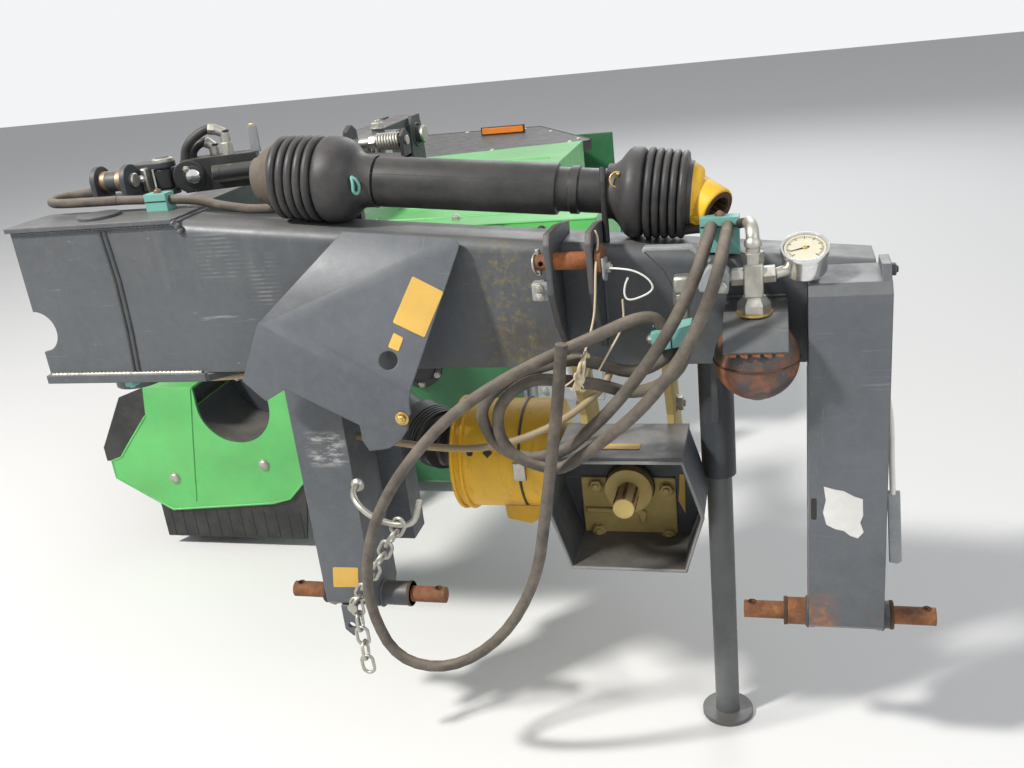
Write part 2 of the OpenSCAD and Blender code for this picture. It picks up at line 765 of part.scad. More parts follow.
module drive_shield() {
    y = 610;
    t = 6;
    cut_x = -985;
    cut_z = 405;
    color(green) {
        difference() {
            plate_xz([[-1224, 456], [-1236, 380], [-1311, 296], [-1340, 262], [-1371, 252], [-1371, 203],
                [-1224, 112], [-930, 136], [-880, 150], [-819, 212], [-800, 300], [-830, 456]], y, y + t);
            rod_y(cut_x, y - 1, y + t + 1, cut_z, 100);
            block([cut_x - 100, y - 1, cut_z], [cut_x + 100, y + t + 1, 460]);
        }
        // Top and side flanges that run back to the inner end plate.
        block([-1224, y, 450], [cut_x - 100, frame_y0 - 14, 456]);
        block([cut_x + 100, y, 450], [-830, frame_y0 - 14, 456]);
    }
    // Dark pan behind the cut-out.
    color(black) difference() {
        rod_y(cut_x, y + t, 800, cut_z, 106);
        rod_y(cut_x, y + t - 1, 795, cut_z, 100);
        block([cut_x - 107, y, cut_z], [cut_x + 107, 801, 520]);
    }
}

module shield_skirt() {
    color(black) {
        plate_xz([[-1262, 140], [-1262, 30], [-860, 30], [-830, 190], [-900, 160], [-1224, 125]], 616, 624);
        plate_xz([[-1224, 456], [-1300, 430], [-1385, 290], [-1385, 252], [-1371, 252], [-1340, 262],
            [-1311, 296], [-1236, 380]], 610, 616);
    }
}

module inner_gearbox() {
    color(steel) {
        block([-1060, 820, 446], [-900, frame_y0 - 14, 700]);
        rod_y(-985, 740, 820, 600, 45);
        rod_y(-985, 690, 740, 600, 17.4);
        block([-1180, bar_y0, 90], [-1100, 675, 446]);
        block([-1180, bar_y0, 415], [-1100, frame_y0 - 14, 446]);
        block([-1100, 820, 415], [-1020, frame_y0 - 14, 446]);
    }
}

// Top panel of the hood with its rear and near faces turned down.
module hood() {
    t = 4;
    front = front_hinge[0] + 16;
    outline = [[front, frame_y0], [-105, frame_y0], [-105, 1300], [-368, 1490], [-368, hood_y1 + 140], [-1000, hood_y1],
        [front, hood_y1]];
    slot = [[pivot_x - 80, tower_y - 100], [pivot_x + 80, tower_y + 90]];
    color(green) {
        difference() {
            plate_xy(outline, hood_z - t, hood_z);
            block([slot[0][0], slot[0][1], hood_z - t - 1], [slot[1][0], slot[1][1], hood_z + 1]);
        }
        difference() {
            block([front, frame_y0, 640], [-105, frame_y0 + t, hood_z - t]);
            block([-890.3, frame_y0 - 1, 600], [-769.7, frame_y0 + t + 1, 710.3]);
        }
        block([-105 - t, frame_y0 + t, 600], [-105, 1300, hood_z - t]);
        block([-368 - t, 1490, 600], [-368, hood_y1 + 140, hood_z - t]);
    }
}

module end_plates() {
    ear = front_hinge[0] - 12;
    edge = [[ear, 180], [bar_x + 180, 180], [bar_x + 186, 88], [bar_x + 110, 88], [bar_x + 110, 45], [-420, 45],
        [-330, 300]];
    inner = concat(edge, [[-330, hood_z - 4], [ear, hood_z - 4]]);
    outer = concat(edge, [[-330, 710], [-1152, 710], [-1152, 742], [ear, 742]]);
    color(green * 0.8) for (y = [frame_y0 - 14, frame_y1]) difference() {
        plate_xz(y < 1500 ? inner : outer, y, y + 8);
        rod_y(rotor_x, y - 1, y + 9, rotor_z, 22.05);
    }
    // Hinge rod of the front cover.
    color(steel) rod_y(front_hinge[0], frame_y0 - 14, frame_y1 + 8, front_hinge[1], 8);
    // Upright hinge pins of the swath boards, on lugs at the plates' rear edges.
    color(steel) for (y = [swath_y0, swath_y1]) {
        rod_z(swath_x, y, 250, 560, 8);
        for (z = [252, 546]) block([-334, min(y, y < 1500 ? frame_y0 - 14 : y - 14), z],
            [swath_x + 14, max(y, y < 1500 ? y + 14 : frame_y1 + 8), z + 10]);
    }
    // Roof plate under the hood that guides the crop round the rotor.
    color(green * 0.8) block([-1150, frame_y0 - 6, 634], [-890, frame_y1, 640]);
}

module outer_cover() {
    front = front_hinge[0] + 16;
    y0 = hood_y1 + 4;
    y1 = bar_y1 + 10;
    outline = [[front, y0], [-1002, y0], [-368, y0 + 140], [-345, y0 + 186], [-640, bar_y1], [-1000, y1],
        [unit_x0, y1], [unit_x0, frame_y1 + 12], [front, frame_y1 + 12]];
    color(black) plate_xy(outline, hood_z - 40, hood_z - 4);
}

module front_cover() {
    color(green) {
        block([unit_x0, cover_y0, 716], [front_hinge[0] - 8.5, cover_y1, 722]);
        block([unit_x0, cover_y0, 640], [unit_x0 + 6, cover_y1, 716]);
        for (y = [960, 1760, 2560]) difference() {
            rod_y(front_hinge[0], y, y + 80, front_hinge[1], 13);
            rod_y(front_hinge[0], y - 1, y + 81, front_hinge[1], 8.05);
        }
    }
}

module front_curtain() {
    color(black) block([unit_x0 - 5, cover_y0, 130], [unit_x0, cover_y1, 700]);
}

// Swath board behind the rotor on an upright hinge at (swath_x, y); s points to the unit's middle.
module swath_board(y, s) {
    lip = 30;
    color(steel) {
        difference() {
            rod_z(swath_x, y, 270, 540, 14);
            rod_z(swath_x, y, 269, 541, 8.05);
        }
        block([swath_x + 12, y - 3, 272], [swath_x + 190, y + 3, 538]);
        block([swath_x + 184, min(y, y + s * lip), 272], [swath_x + 190, max(y, y + s * lip), 538]);
    }
}

// Tube of the given radius swept along a route that nowhere runs along the direction `side`.
module hose(route, r, side = [0, 1, 0]) {
    sides = 10;
    n = len(route);
    function along(i) = let (d = route[min(i + 1, n - 1)] - route[max(i - 1, 0)]) d / norm(d);
    function across(i) = let (c = cross(along(i), side)) c / norm(c);
    points = [for (i = [0:n - 1], k = [0:sides - 1])
        let (u = across(i), w = cross(along(i), u), a = 360 * k / sides)
        route[i] + r * (cos(a) * u + sin(a) * w)];
    polyhedron(points, concat(
        [[for (k = [0:sides - 1]) k]],
        [for (i = [0:n - 2], k = [0:sides - 1]) let (m = (k + 1) % sides)
            [i * sides + k, (i + 1) * sides + k, (i + 1) * sides + m, i * sides + m]],
        [[for (k = [sides - 1:-1:0]) (n - 1) * sides + k]]
    ), convexity = 8);
}

// Rounds a route: each inner point gives way to points a quarter and three quarters along its two legs.
function rounded(p) = concat([p[0]], [for (i = [0:len(p) - 2]) each [p[i] * 0.75 + p[i + 1] * 0.25,
    p[i] * 0.25 + p[i + 1] * 0.75]], [p[len(p) - 1]]);

module hose_loop() {
    route = [[23, -128, 807], [10, -128, 722], [-4, -128, 649], [-26, -130, 536], [-50, -132, 423], [-116, -132, 312],
        [-215, -132, 244], [-306, -132, 258], [-338, -132, 353], [-330, -132, 445], [-302, -130, 522],
        [-257, -130, 593], [-189, -128, 669], [-123, -122, 721], [-45, -112, 763], [34, -98, 794], [75, -88, 808],
        [115, -74, 822], [146, -66, 824], [158, -66, 806]];
    color([0.42, 0.38, 0.33]) hose(rounded(rounded(route)), 9);
}

// Two hoses that come out of the upper clip and run down to the hank, and the line on the beam's left end.
module hose_pair() {
    left = [[clip_x[0], clip_y, clip_z], [clip_x[0], 4, clip_z], [219, -62, 918], [212, -92, 896], [185, -98, 839],
        [140, -99, 767], [77, -98, 691], [41, -97, 658]];
    right = [[clip_x[1], clip_y, clip_z], [clip_x[1], -6, clip_z], [244, -74, 918], [240, -108, 900], [219, -112, 841],
        [182, -112, 770], [122, -110, 695], [60, -106, 644]];
    line = [[-702, 126, 1000], [-680, 126, 999], [-643, 122, 996], [-600, 120, 984], [-556, 118, 977]];
    line_end = [[-743.5, 126, 1002], [-775, 126.5, 1003], [-805.7, 127, 1004]];
    color([0.42, 0.38, 0.33]) {
        for (route = [left, right]) hose(rounded(rounded(route)), 9, [1, 0, 0]);
        for (route = [line, line_end]) hose(rounded(rounded(route)), 8);
    }
}

// Hank that the two hoses make: two turns, tied at the bracket, back to the lower clip.
module hose_coil() {
    outer = [[41, -97, 658], [5, -96, 626], [-54, -95, 612], [-98, -94, 632], [-117, -93, 672], [-115, -92, 698],
        [-94, -90, 724], [-60, -86, 744], [-10, -80, 760], [31, -74, 765], [67, -68, 753], [109, -64, 737],
        [148, -56, 748], [176, -42, 776], [181, -30, 796]];
    inner = [[60, -106, 644], [4, -103, 601], [-24, -102, 602], [-73, -100, 620], [-92, -100, 654], [-90, -100, 694],
        [-69, -98, 722], [-35, -94, 742], [3, -88, 738], [43, -80, 730], [70, -74, 722], [104, -70, 708],
        [146, -66, 716], [184, -64, 748], [189, -66, 792]];
    color([0.42, 0.38, 0.33]) for (route = [outer, inner]) hose(rounded(rounded(route)), 9);
}

// Clip blocks: on the beam's top edge, below it round the hank's ends, and on the beam's left end.
module hose_clips() {
    color([0.35, 0.62, 0.58]) {
        plate_xz([[clip_x[0] - 16, beam_top(clip_x[0] - 16)], [clip_x[1] + 16, beam_top(clip_x[1] + 16)],
            [clip_x[1] + 16, clip_z + 13], [clip_x[0] - 16, clip_z + 13]], clip_y, clip_y + 24);
        plate_xz([[143, 776], [199, 786], [197, 813], [141, 803]], -82, -44);
        block([-744, 112, beam_z1 + skin], [-702, 140, 1013]);
    }
}

place() headstock_beam();
place() hinge_pin();
place() left_leg();
place() right_leg();
place() left_hitch_pin();
place() right_hitch_pin();
place() top_link_bracket();
place() top_link_pin();
place() guard_sheet();
place() input_gearbox();
place() input_guard();
place() driveline_guard();
place() driveline_shaft();
place() accumulator();
place() accumulator_bracket();
place() valve_block();
place() pressure_gauge();
place() stand_sleeve();
place() stand_leg();
place() stored_shaft_tube();
place() stored_shaft_bells();
place() stored_shaft_yokes();
place() shaft_cradle();
place() hook_rod();
place() safety_chain();
place() ram_anchor();
place() ram_barrel();
place() ram_rod();
place() boom_arm();
place() unit_frame();
place() cutterbar();
place() disc(0);  // disc_1
place() disc(1);  // disc_2
place() disc(2);  // disc_3
place() disc(3);  // disc_4
place() disc(4);  // disc_5
place() disc(5);  // disc_6
place() conditioner_rotor();
place() drive_shield();
place() shield_skirt();
place() inner_gearbox();
place() hood();
place() end_plates();
place() outer_cover();
place() front_cover();
place() front_curtain();
place() swath_board(swath_y0, 1);  // swath_board_inner
place() swath_board(swath_y1, -1);  // swath_board_outer
place() hose_clips();
place() hose_loop();
place() hose_pair();
place() hose_coil();
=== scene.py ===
import math
import random

import bmesh
import bpy
from mathutils import Matrix, Vector


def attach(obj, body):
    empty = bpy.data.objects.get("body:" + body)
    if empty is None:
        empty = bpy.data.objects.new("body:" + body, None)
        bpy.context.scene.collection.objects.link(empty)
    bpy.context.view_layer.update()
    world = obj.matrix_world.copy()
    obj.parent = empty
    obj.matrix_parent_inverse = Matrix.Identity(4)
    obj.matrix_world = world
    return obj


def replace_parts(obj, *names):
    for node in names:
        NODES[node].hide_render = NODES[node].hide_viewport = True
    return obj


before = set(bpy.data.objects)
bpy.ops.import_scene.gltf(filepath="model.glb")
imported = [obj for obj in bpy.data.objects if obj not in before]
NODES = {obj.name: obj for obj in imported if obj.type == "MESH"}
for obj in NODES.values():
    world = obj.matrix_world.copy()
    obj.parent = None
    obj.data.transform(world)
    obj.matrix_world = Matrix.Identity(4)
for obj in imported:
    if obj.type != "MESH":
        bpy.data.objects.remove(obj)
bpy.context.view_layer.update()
random.seed(7)

# Places are written in millimetres from the headstock centre, as in the part's source.
HITCH = (420, -1341)
RIGHT, LEFT, BACK, FRONT = (1, 0, 0), (-1, 0, 0), (0, 1, 0), (0, -1, 0)
UP, DOWN = (0, 0, 1), (0, 0, -1)


def P(x, y, z):
    return Vector(((x + HITCH[0]) / 1000, (y + HITCH[1]) / 1000, z / 1000))


def link_object(name, data):
    o = bpy.data.objects.new(name, data)
    bpy.context.scene.collection.objects.link(o)
    return o


# ---------------------------------------------------------------- camera
CAMERA_AT = (315.87, -1410.64, 1261.0)
PITCH, ROLL, YAW = math.radians(21.0), math.radians(6.63), math.radians(-16.1)


def make_camera():
    forward = Vector((math.sin(YAW) * math.cos(PITCH), math.cos(YAW) * math.cos(PITCH), -math.sin(PITCH)))
    level = Vector((math.cos(YAW), -math.sin(YAW), 0))
    down0 = forward.cross(level)
    right = level * math.cos(ROLL) + down0 * math.sin(ROLL)
    down = -level * math.sin(ROLL) + down0 * math.cos(ROLL)
    cam = link_object("camera", bpy.data.cameras.new("camera"))
    m = Matrix((right, -down, -forward)).transposed().to_4x4()
    m.translation = P(*CAMERA_AT)
    cam.matrix_world = m
    cam.data.sensor_fit = "HORIZONTAL"
    cam.data.sensor_width = 36
    cam.data.lens = 35.16
    cam.data.clip_start = 0.05
    bpy.context.scene.camera = cam


make_camera()


# ---------------------------------------------------------------- materials
def nodes_of(name):
    m = bpy.data.materials.new(name)
    m.use_nodes = True
    return m, m.node_tree, m.node_tree.nodes["Principled BSDF"]


def feed(nt, socket, value):
    """Gives a socket a colour, a number or another node's output."""
    if isinstance(value, tuple):
        socket.default_value = (*value, 1)
    elif isinstance(value, (int, float)):
        socket.default_value = value
    else:
        nt.links.new(value, socket)


def noise(nt, scale, detail=6, rough=0.6, stretch=(1, 1, 1), seed=0.0, distort=0.0):
    coords = nt.nodes.new("ShaderNodeTexCoord")
    place = nt.nodes.new("ShaderNodeMapping")
    place.inputs["Scale"].default_value = stretch
    place.inputs["Location"].default_value = (seed, seed * 0.7, -seed * 0.4)
    n = nt.nodes.new("ShaderNodeTexNoise")
    for key, value in (("Scale", scale), ("Detail", detail), ("Roughness", rough), ("Distortion", distort)):
        n.inputs[key].default_value = value
    nt.links.new(coords.outputs["Object"], place.inputs["Vector"])
    nt.links.new(place.outputs["Vector"], n.inputs["Vector"])
    return n.outputs["Fac"]


def ramp(nt, fac, stops):
    r = nt.nodes.new("ShaderNodeValToRGB")
    e = r.color_ramp.elements
    while len(e) < len(stops):
        e.new(0.5)
    for el, (pos, c) in zip(e, stops):
        el.position = pos
        el.color = (c, c, c, 1) if isinstance(c, (int, float)) else (*c, 1)
    nt.links.new(fac, r.inputs["Fac"])
    return r.outputs["Color"]


def patches(nt, low, high, *args, **options):
    """Noise cut to a soft mask: 0 under low, 1 over high."""
    return ramp(nt, noise(nt, *args, **options), [(low, 0.0), (high, 1.0)])


def mix(nt, fac, a, b):
    m = nt.nodes.new("ShaderNodeMix")
    m.data_type = "RGBA"
    for i, value in ((0, fac), (6, a), (7, b)):
        feed(nt, m.inputs[i], value)
    return m.outputs[2]


def maths(nt, op, a, b, clamp=True):
    m = nt.nodes.new("ShaderNodeMath")
    m.operation = op
    m.use_clamp = clamp
    feed(nt, m.inputs[0], a)
    feed(nt, m.inputs[1], b)
    return m.outputs[0]


def mul(nt, a, b):
    return maths(nt, "MULTIPLY", a, b)


def tint(nt, base, colour, mask, amount):
    """Lays a colour over base where the mask is."""
    return mix(nt, mul(nt, mask, amount), base, colour)


def geometry(nt, output, axis):
    geo = nt.nodes.new("ShaderNodeNewGeometry")
    split = nt.nodes.new("ShaderNodeSeparateXYZ")
    nt.links.new(geo.outputs[output], split.inputs[0])
    return split.outputs[axis]


def up_facing(nt):
    return ramp(nt, geometry(nt, "Normal", "Z"), [(0.3, 0.0), (0.95, 1.0)])


def round_normal(nt, radius):
    b = nt.nodes.new("ShaderNodeBevel")
    b.samples = 4
    b.inputs["Radius"].default_value = radius
    return b.outputs["Normal"]


def edge_mask(nt, radius):
    """1 on outer edges, 0 on faces: where a rounded normal leaves the face's own."""
    geo = nt.nodes.new("ShaderNodeNewGeometry")
    dot = nt.nodes.new("ShaderNodeVectorMath")
    dot.operation = "DOT_PRODUCT"
    nt.links.new(round_normal(nt, radius), dot.inputs[0])
    nt.links.new(geo.outputs["True Normal"], dot.inputs[1])
    return ramp(nt, dot.outputs["Value"], [(0.80, 1.0), (0.97, 0.0)])


def bump(nt, bsdf, height, strength, distance, radius):
    """Fine relief on normals that are rounded at the edges; radius and distance in metres."""
    b = nt.nodes.new("ShaderNodeBump")
    b.inputs["Strength"].default_value = strength
    b.inputs["Distance"].default_value = distance
    nt.links.new(height, b.inputs["Height"])
    nt.links.new(round_normal(nt, radius), b.inputs["Normal"])
    nt.links.new(b.outputs["Normal"], bsdf.inputs["Normal"])


def part_of(nt, axis, low, high, soft):
    """A soft mask for one stretch along x, y or z, given in mm from the headstock's centre."""
    shift = P(0, 0, 0)["XYZ".index(axis)]
    v = geometry(nt, "Position", axis)
    out = []
    for start, end in ((low, low + soft), (high, high - soft)):
        r = nt.nodes.new("ShaderNodeMapRange")
        r.inputs["From Min"].default_value = start / 1000 + shift
        r.inputs["From Max"].default_value = end / 1000 + shift
        nt.links.new(v, r.inputs["Value"])
        out.append(r.outputs["Result"])
    return mul(nt, *out)


def window(nt, x0, x1, soft_x, z0, z1, soft_z):
    return mul(nt, part_of(nt, "X", x0, x1, soft_x), part_of(nt, "Z", z0, z1, soft_z))


def stripes(nt, pitch):
    """Level stripes, pitch in mm."""
    turns = maths(nt, "MULTIPLY", geometry(nt, "Position", "Z"), 2000 * math.pi / pitch, clamp=False)
    return ramp(nt, maths(nt, "SINE", turns, 0.0), [(0.25, 0.0), (0.6, 1.0)])


def rust_colour(nt, dark, light, scale, seed):
    return ramp(nt, noise(nt, scale, 5, 0.7, seed=seed), [(0.3, dark), (0.7, light)])


def beam_marks(nt, base):
    """Rub marks, mossy stains, bleached paint, and painted shadow on the face right of the bracket, where the
    beam shows them.
    """
    for x0, x1, z0, z1, amount in ((-628, -536, 872, 958, 0.55), (-540, -476, 826, 920, 0.60),
                                   (-600, -575, 752, 766, 0.5)):
        area = mul(nt, window(nt, x0, x1, 26, z0, z1, 10), patches(nt, 0.40, 0.60, 26, 4, 0.6, seed=x0))
        base = tint(nt, base, (0.26, 0.27, 0.27), mul(nt, area, stripes(nt, 7.2)), amount)
    for x0, x1, z0, z1, colour, amount, low in (
            (-160, -20, 655, 925, (0.185, 0.150, 0.065), 0.85, 0.50),
            (-150, 0, 700, 800, (0.070, 0.052, 0.030), 0.6, 0.42),
            # darker brown right of the bracket: partly mossy stain, partly painted shadow
            (70, 220, 700, 830, (0.085, 0.070, 0.040), 0.7, 0.46),
            (-960, -840, 700, 990, (0.190, 0.120, 0.090), 0.30, 0.54),
            (-240, 60, 690, 745, (0.16, 0.125, 0.06), 0.6, 0.48)):
        stains_and_shadow = patches(nt, low, low + 0.10, 62, 9, 0.78, seed=z0 * 0.1)
        base = tint(nt, base, colour, mul(nt, window(nt, x0, x1, 46, z0, z1, 34), stains_and_shadow), amount)
    streak = mul(nt, patches(nt, 0.50, 0.66, 30, 6, 0.7, (1, 1, 0.05), 73),
                 patches(nt, 0.42, 0.62, 4, 4, 0.6, seed=74))
    base = tint(nt, base, (0.24, 0.235, 0.22), streak, 0.16)
    fine = mul(nt, patches(nt, 0.70, 0.74, 60, 3, 0.5, (0.12, 1, 1.4), 77, 0.6),
               patches(nt, 0.52, 0.60, 7, 3, 0.5, seed=78))
    base = tint(nt, base, (0.34, 0.34, 0.33), fine, 0.5)
    return tint(nt, base, (0.30, 0.30, 0.29), patches(nt, 0.64, 0.68, 34, 8, 0.8, (1, 1, 3), 71), 0.5)


def leg_marks(nt, base):
    """Bleached scrapes on the left leg, rust on the right one's corner and chips low on both."""
    scrapes = mul(nt, window(nt, -450, -370, 20, 566, 636, 14),
                  patches(nt, 0.46, 0.54, 14, 7, 0.75, (1, 1, 3.5), 31))
    base = tint(nt, base, (0.42, 0.42, 0.40), scrapes, 0.8)
    corner = mul(nt, window(nt, 330, 404, 26, 200, 372, 60), patches(nt, 0.40, 0.52, 36, 7, 0.75, seed=39))
    base = tint(nt, base, rust_colour(nt, (0.10, 0.040, 0.018), (0.40, 0.160, 0.060), 70, 40), corner, 0.9)
    chips = mul(nt, part_of(nt, "Z", 240, 400, 60), patches(nt, 0.60, 0.66, 30, 8, 0.78, seed=37))
    return tint(nt, base, (0.17, 0.075, 0.035), chips, 0.9)


def rust_marks(nt, base):
    """Rust that breaks through the paint, patchy all over."""
    rust = rust_colour(nt, (0.11, 0.040, 0.018), (0.36, 0.125, 0.045), 40, 44)
    return tint(nt, base, rust, patches(nt, 0.46, 0.56, 7, 8, 0.75, seed=43), 0.85)


def two_tone(nt, colour, dark, light, scale, detail, seed):
    return mix(nt, patches(nt, 0.35, 0.65, scale, detail, 0.6, seed=seed),
               tuple(c * dark for c in colour), tuple(min(1, c * light) for c in colour))


def roughness(nt, bsdf, rough, low, high, scale, seed):
    r = ramp(nt, noise(nt, scale, 6, 0.7, seed=seed), [(0.3, rough * low), (0.7, min(1, rough * high))])
    nt.links.new(r, bsdf.inputs["Roughness"])


def painted(name, colour, wear=(0.22, 0.22, 0.21), rust=0.25, dust=0.35, scratch=0.4, rough=0.42, seed=1.0,
            edge=0.003, dust_colour=(0.30, 0.26, 0.20), peel=0.06, worn_edges=0.5, marks=None, pale=0.35):
    m, nt, bsdf = nodes_of(name)
    base = two_tone(nt, colour, 0.80, 1.14, 2.2, 4, seed)
    fine = patches(nt, 0.42, 0.62, 55, 6, 0.75, seed=seed + 3)
    base = tint(nt, base, tuple(min(1, c * 1.5 + 0.012) for c in colour), fine, 0.20)
    lines = maths(nt, "MAXIMUM", patches(nt, 0.63, 0.70, 6, 5, 0.7, (1, 1, 30), seed + 5),
                  patches(nt, 0.66, 0.71, 5, 5, 0.7, (28, 1, 1.5), seed + 9))
    base = tint(nt, base, wear, mul(nt, lines, patches(nt, 0.48, 0.60, 2.5, 3, 0.5, seed=seed + 2)), scratch)
    lying = mul(nt, up_facing(nt), ramp(nt, noise(nt, 9, 7, 0.7, seed=seed + 4), [(0.35, 0.25), (0.62, 1.0)]))
    clinging = mul(nt, patches(nt, 0.55, 0.78, 4.5, 8, 0.72, seed=seed + 8), dust * 0.55)
    base = mix(nt, maths(nt, "MAXIMUM", mul(nt, lying, dust), clinging), base, dust_colour)
    if marks:
        base = marks(nt, base)
    chipped = mul(nt, edge_mask(nt, edge * 0.8), patches(nt, 0.40, 0.62, 16, 6, 0.75, seed=seed + 13))
    base = tint(nt, base, (0.36, 0.35, 0.33), chipped, pale)
    bare = mul(nt, edge_mask(nt, edge), patches(nt, 0.44, 0.60, 22, 6, 0.7, seed=seed + 6))
    rusted = maths(nt, "MAXIMUM", mul(nt, bare, worn_edges), patches(nt, 0.72, 0.77, 17, 8, 0.75,
                                                                     seed=seed + 7))
    base = tint(nt, base, rust_colour(nt, (0.06, 0.024, 0.010), (0.26, 0.105, 0.035), 60, seed), rusted, rust)
    nt.links.new(base, bsdf.inputs["Base Color"])
    roughness(nt, bsdf, rough, 0.8, 1.35, 14, seed + 11)
    bump(nt, bsdf, noise(nt, 160, 4, 0.6, seed=seed), peel, 0.001, edge)
    return m


def rusty(name, dark, light, metal=0.15, seed=2.0, grey=0.15):
    m, nt, bsdf = nodes_of(name)
    between = tuple((d + l) / 2.2 for d, l in zip(dark, light))
    base = ramp(nt, noise(nt, 26, 10, 0.75, seed=seed), [(0.32, dark), (0.52, between), (0.70, light)])
    base = tint(nt, base, (0.16, 0.14, 0.12), patches(nt, 0.50, 0.72, 8, 6, 0.7, seed=seed + 3), grey)
    nt.links.new(base, bsdf.inputs["Base Color"])
    bsdf.inputs["Metallic"].default_value = metal
    bsdf.inputs["Roughness"].default_value = 0.78
    bump(nt, bsdf, noise(nt, 120, 8, 0.75, seed=seed), 0.5, 0.0012, 0.002)
    return m


def metal(name, colour, rough=0.35, stain=(0.20, 0.15, 0.10), amount=0.25, seed=3.0, grain=200):
    m, nt, bsdf = nodes_of(name)
    base = ramp(nt, noise(nt, 110, 5, 0.6, seed=seed + 2), [(0.3, tuple(x * 0.82 for x in colour)),
                                                            (0.7, colour)])
    base = tint(nt, base, stain, patches(nt, 0.45, 0.75, 30, 8, 0.7, seed=seed), amount)
    nt.links.new(base, bsdf.inputs["Base Color"])
    bsdf.inputs["Metallic"].default_value = 0.9
    roughness(nt, bsdf, rough, 0.8, 1.5, 40, seed + 5)
    bump(nt, bsdf, noise(nt, grain, 5, 0.6, seed=seed), 0.12, 0.0008, 0.0012)
    return m


def polymer(name, colour, rough=0.5, dust=0.3, seed=4.0, dust_colour=(0.26, 0.23, 0.19), spec=0.4, grain=260,
            grain_strength=0.12, streak=0.0):
    m, nt, bsdf = nodes_of(name)
    base = two_tone(nt, colour, 0.84, 1.10, 5, 5, seed)
    clinging = mul(nt, patches(nt, 0.42, 0.72, 13, 9, 0.75, seed=seed + 2), dust)
    lying = mul(nt, up_facing(nt), ramp(nt, noise(nt, 30, 6, 0.7, seed=seed + 5), [(0.3, 0.3), (0.65, 1.0)]))
    base = mix(nt, maths(nt, "MAXIMUM", clinging, mul(nt, lying, dust * 1.2)), base, dust_colour)
    if streak:
        base = tint(nt, base, (0.13, 0.11, 0.07), patches(nt, 0.56, 0.70, 7, 6, 0.7, (6, 6, 0.6), seed + 9),
                    streak)
    nt.links.new(base, bsdf.inputs["Base Color"])
    bsdf.inputs["Specular IOR Level"].default_value = spec
    roughness(nt, bsdf, rough, 0.82, 1.35, 20, seed + 7)
    bump(nt, bsdf, noise(nt, grain, 4, 0.6, seed=seed), grain_strength, 0.0008, 0.0015)
    return m


GREY = painted("grey_paint", (0.072, 0.082, 0.092), wear=(0.27, 0.27, 0.26), rust=0.8, dust=0.22, scratch=0.45,
               rough=0.40, worn_edges=0.55)
BEAM = painted("beam_paint", (0.078, 0.086, 0.094), wear=(0.30, 0.30, 0.29), rust=0.8, dust=0.25, scratch=0.5,
               seed=24, marks=beam_marks)
LEG = painted("leg_paint", (0.092, 0.102, 0.113), wear=(0.30, 0.30, 0.29), rust=0.8, dust=0.22, scratch=0.5,
              seed=26, marks=leg_marks)
BRACKET = painted("bracket_paint", (0.070, 0.078, 0.086), wear=(0.27, 0.27, 0.26), rust=1.0, dust=0.3,
                  scratch=0.5, seed=28, edge=0.006, worn_edges=1.0, pale=0.15)
PATCHY = painted("patchy_rust", (0.050, 0.048, 0.047), wear=(0.20, 0.19, 0.18), rust=0.9, dust=0.3, scratch=0.2,
                 seed=27, marks=rust_marks)
PIPE = painted("stand_pipe_paint", (0.105, 0.110, 0.112), wear=(0.34, 0.34, 0.32), rust=0.7, dust=0.3,
               scratch=0.9, seed=29, dust_colour=(0.24, 0.22, 0.18))
GREY2 = painted("grey_paint_dark", (0.040, 0.046, 0.052), wear=(0.20, 0.19, 0.18), rust=0.9, dust=0.35,
                scratch=0.3, rough=0.5, seed=12)
GUARD = painted("guard_paint", (0.088, 0.098, 0.110), wear=(0.27, 0.27, 0.26), rust=0.35, dust=0.10,
                scratch=0.15, rough=0.38, seed=21, peel=0.10)
BLACK = painted("black_paint", (0.018, 0.019, 0.020), wear=(0.13, 0.12, 0.11), rust=0.7, dust=0.30,
                scratch=0.25, rough=0.45, seed=31)
SILVER = painted("silver_paint", (0.30, 0.32, 0.33), wear=(0.4, 0.4, 0.4), rust=0.5, dust=0.4, scratch=0.2,
                 seed=36)
GREEN = polymer("green_plastic", (0.105, 0.470, 0.125), rough=0.36, dust=0.16, seed=41, spec=0.5, grain=400,
                grain_strength=0.05, dust_colour=(0.25, 0.30, 0.14))
# Darker copy of the green for the end plates, their edges and rib: painted shade of these side faces.
SHADED_GREEN = painted("green_steel_painted_shade", (0.022, 0.120, 0.045), wear=(0.16, 0.20, 0.14), rust=0.5, dust=0.22,
                     scratch=0.2, seed=46)
YELLOW = polymer("yellow_plastic", (0.86, 0.49, 0.018), rough=0.42, dust=0.22, seed=51, spec=0.45,
                 dust_colour=(0.40, 0.28, 0.10), streak=0.35)
BRONZE = metal("bronze", (0.34, 0.26, 0.17), 0.45, (0.10, 0.07, 0.05), 0.6, seed=12)
DUSTY_YELLOW = painted("worn_yellow", (0.50, 0.38, 0.13), wear=(0.34, 0.28, 0.16), rust=0.9, dust=0.8,
                       scratch=0.3, rough=0.7, seed=55, dust_colour=(0.30, 0.22, 0.12))
RUBBER = polymer("rubber", (0.030, 0.030, 0.031), rough=0.62, dust=0.16, seed=61, spec=0.3,
                 dust_colour=(0.17, 0.15, 0.12))
BELLOWS = polymer("bellows_rubber", (0.030, 0.030, 0.032), rough=0.46, dust=0.24, seed=66,
                  dust_colour=(0.20, 0.175, 0.15))
PLASTIC = polymer("black_plastic", (0.016, 0.017, 0.018), rough=0.42, dust=0.26, seed=71, spec=0.45,
                  dust_colour=(0.15, 0.14, 0.12))
HOSE = polymer("hose_rubber", (0.078, 0.068, 0.058), rough=0.62, dust=0.62, seed=76, spec=0.25,
               dust_colour=(0.27, 0.230, 0.180), grain=500, grain_strength=0.2)
HOSE_BLACK = polymer("hose_black", (0.020, 0.020, 0.021), rough=0.45, dust=0.30, seed=78)
TAN = polymer("tan_hose", (0.33, 0.25, 0.14), rough=0.55, dust=0.35, seed=79, spec=0.35)
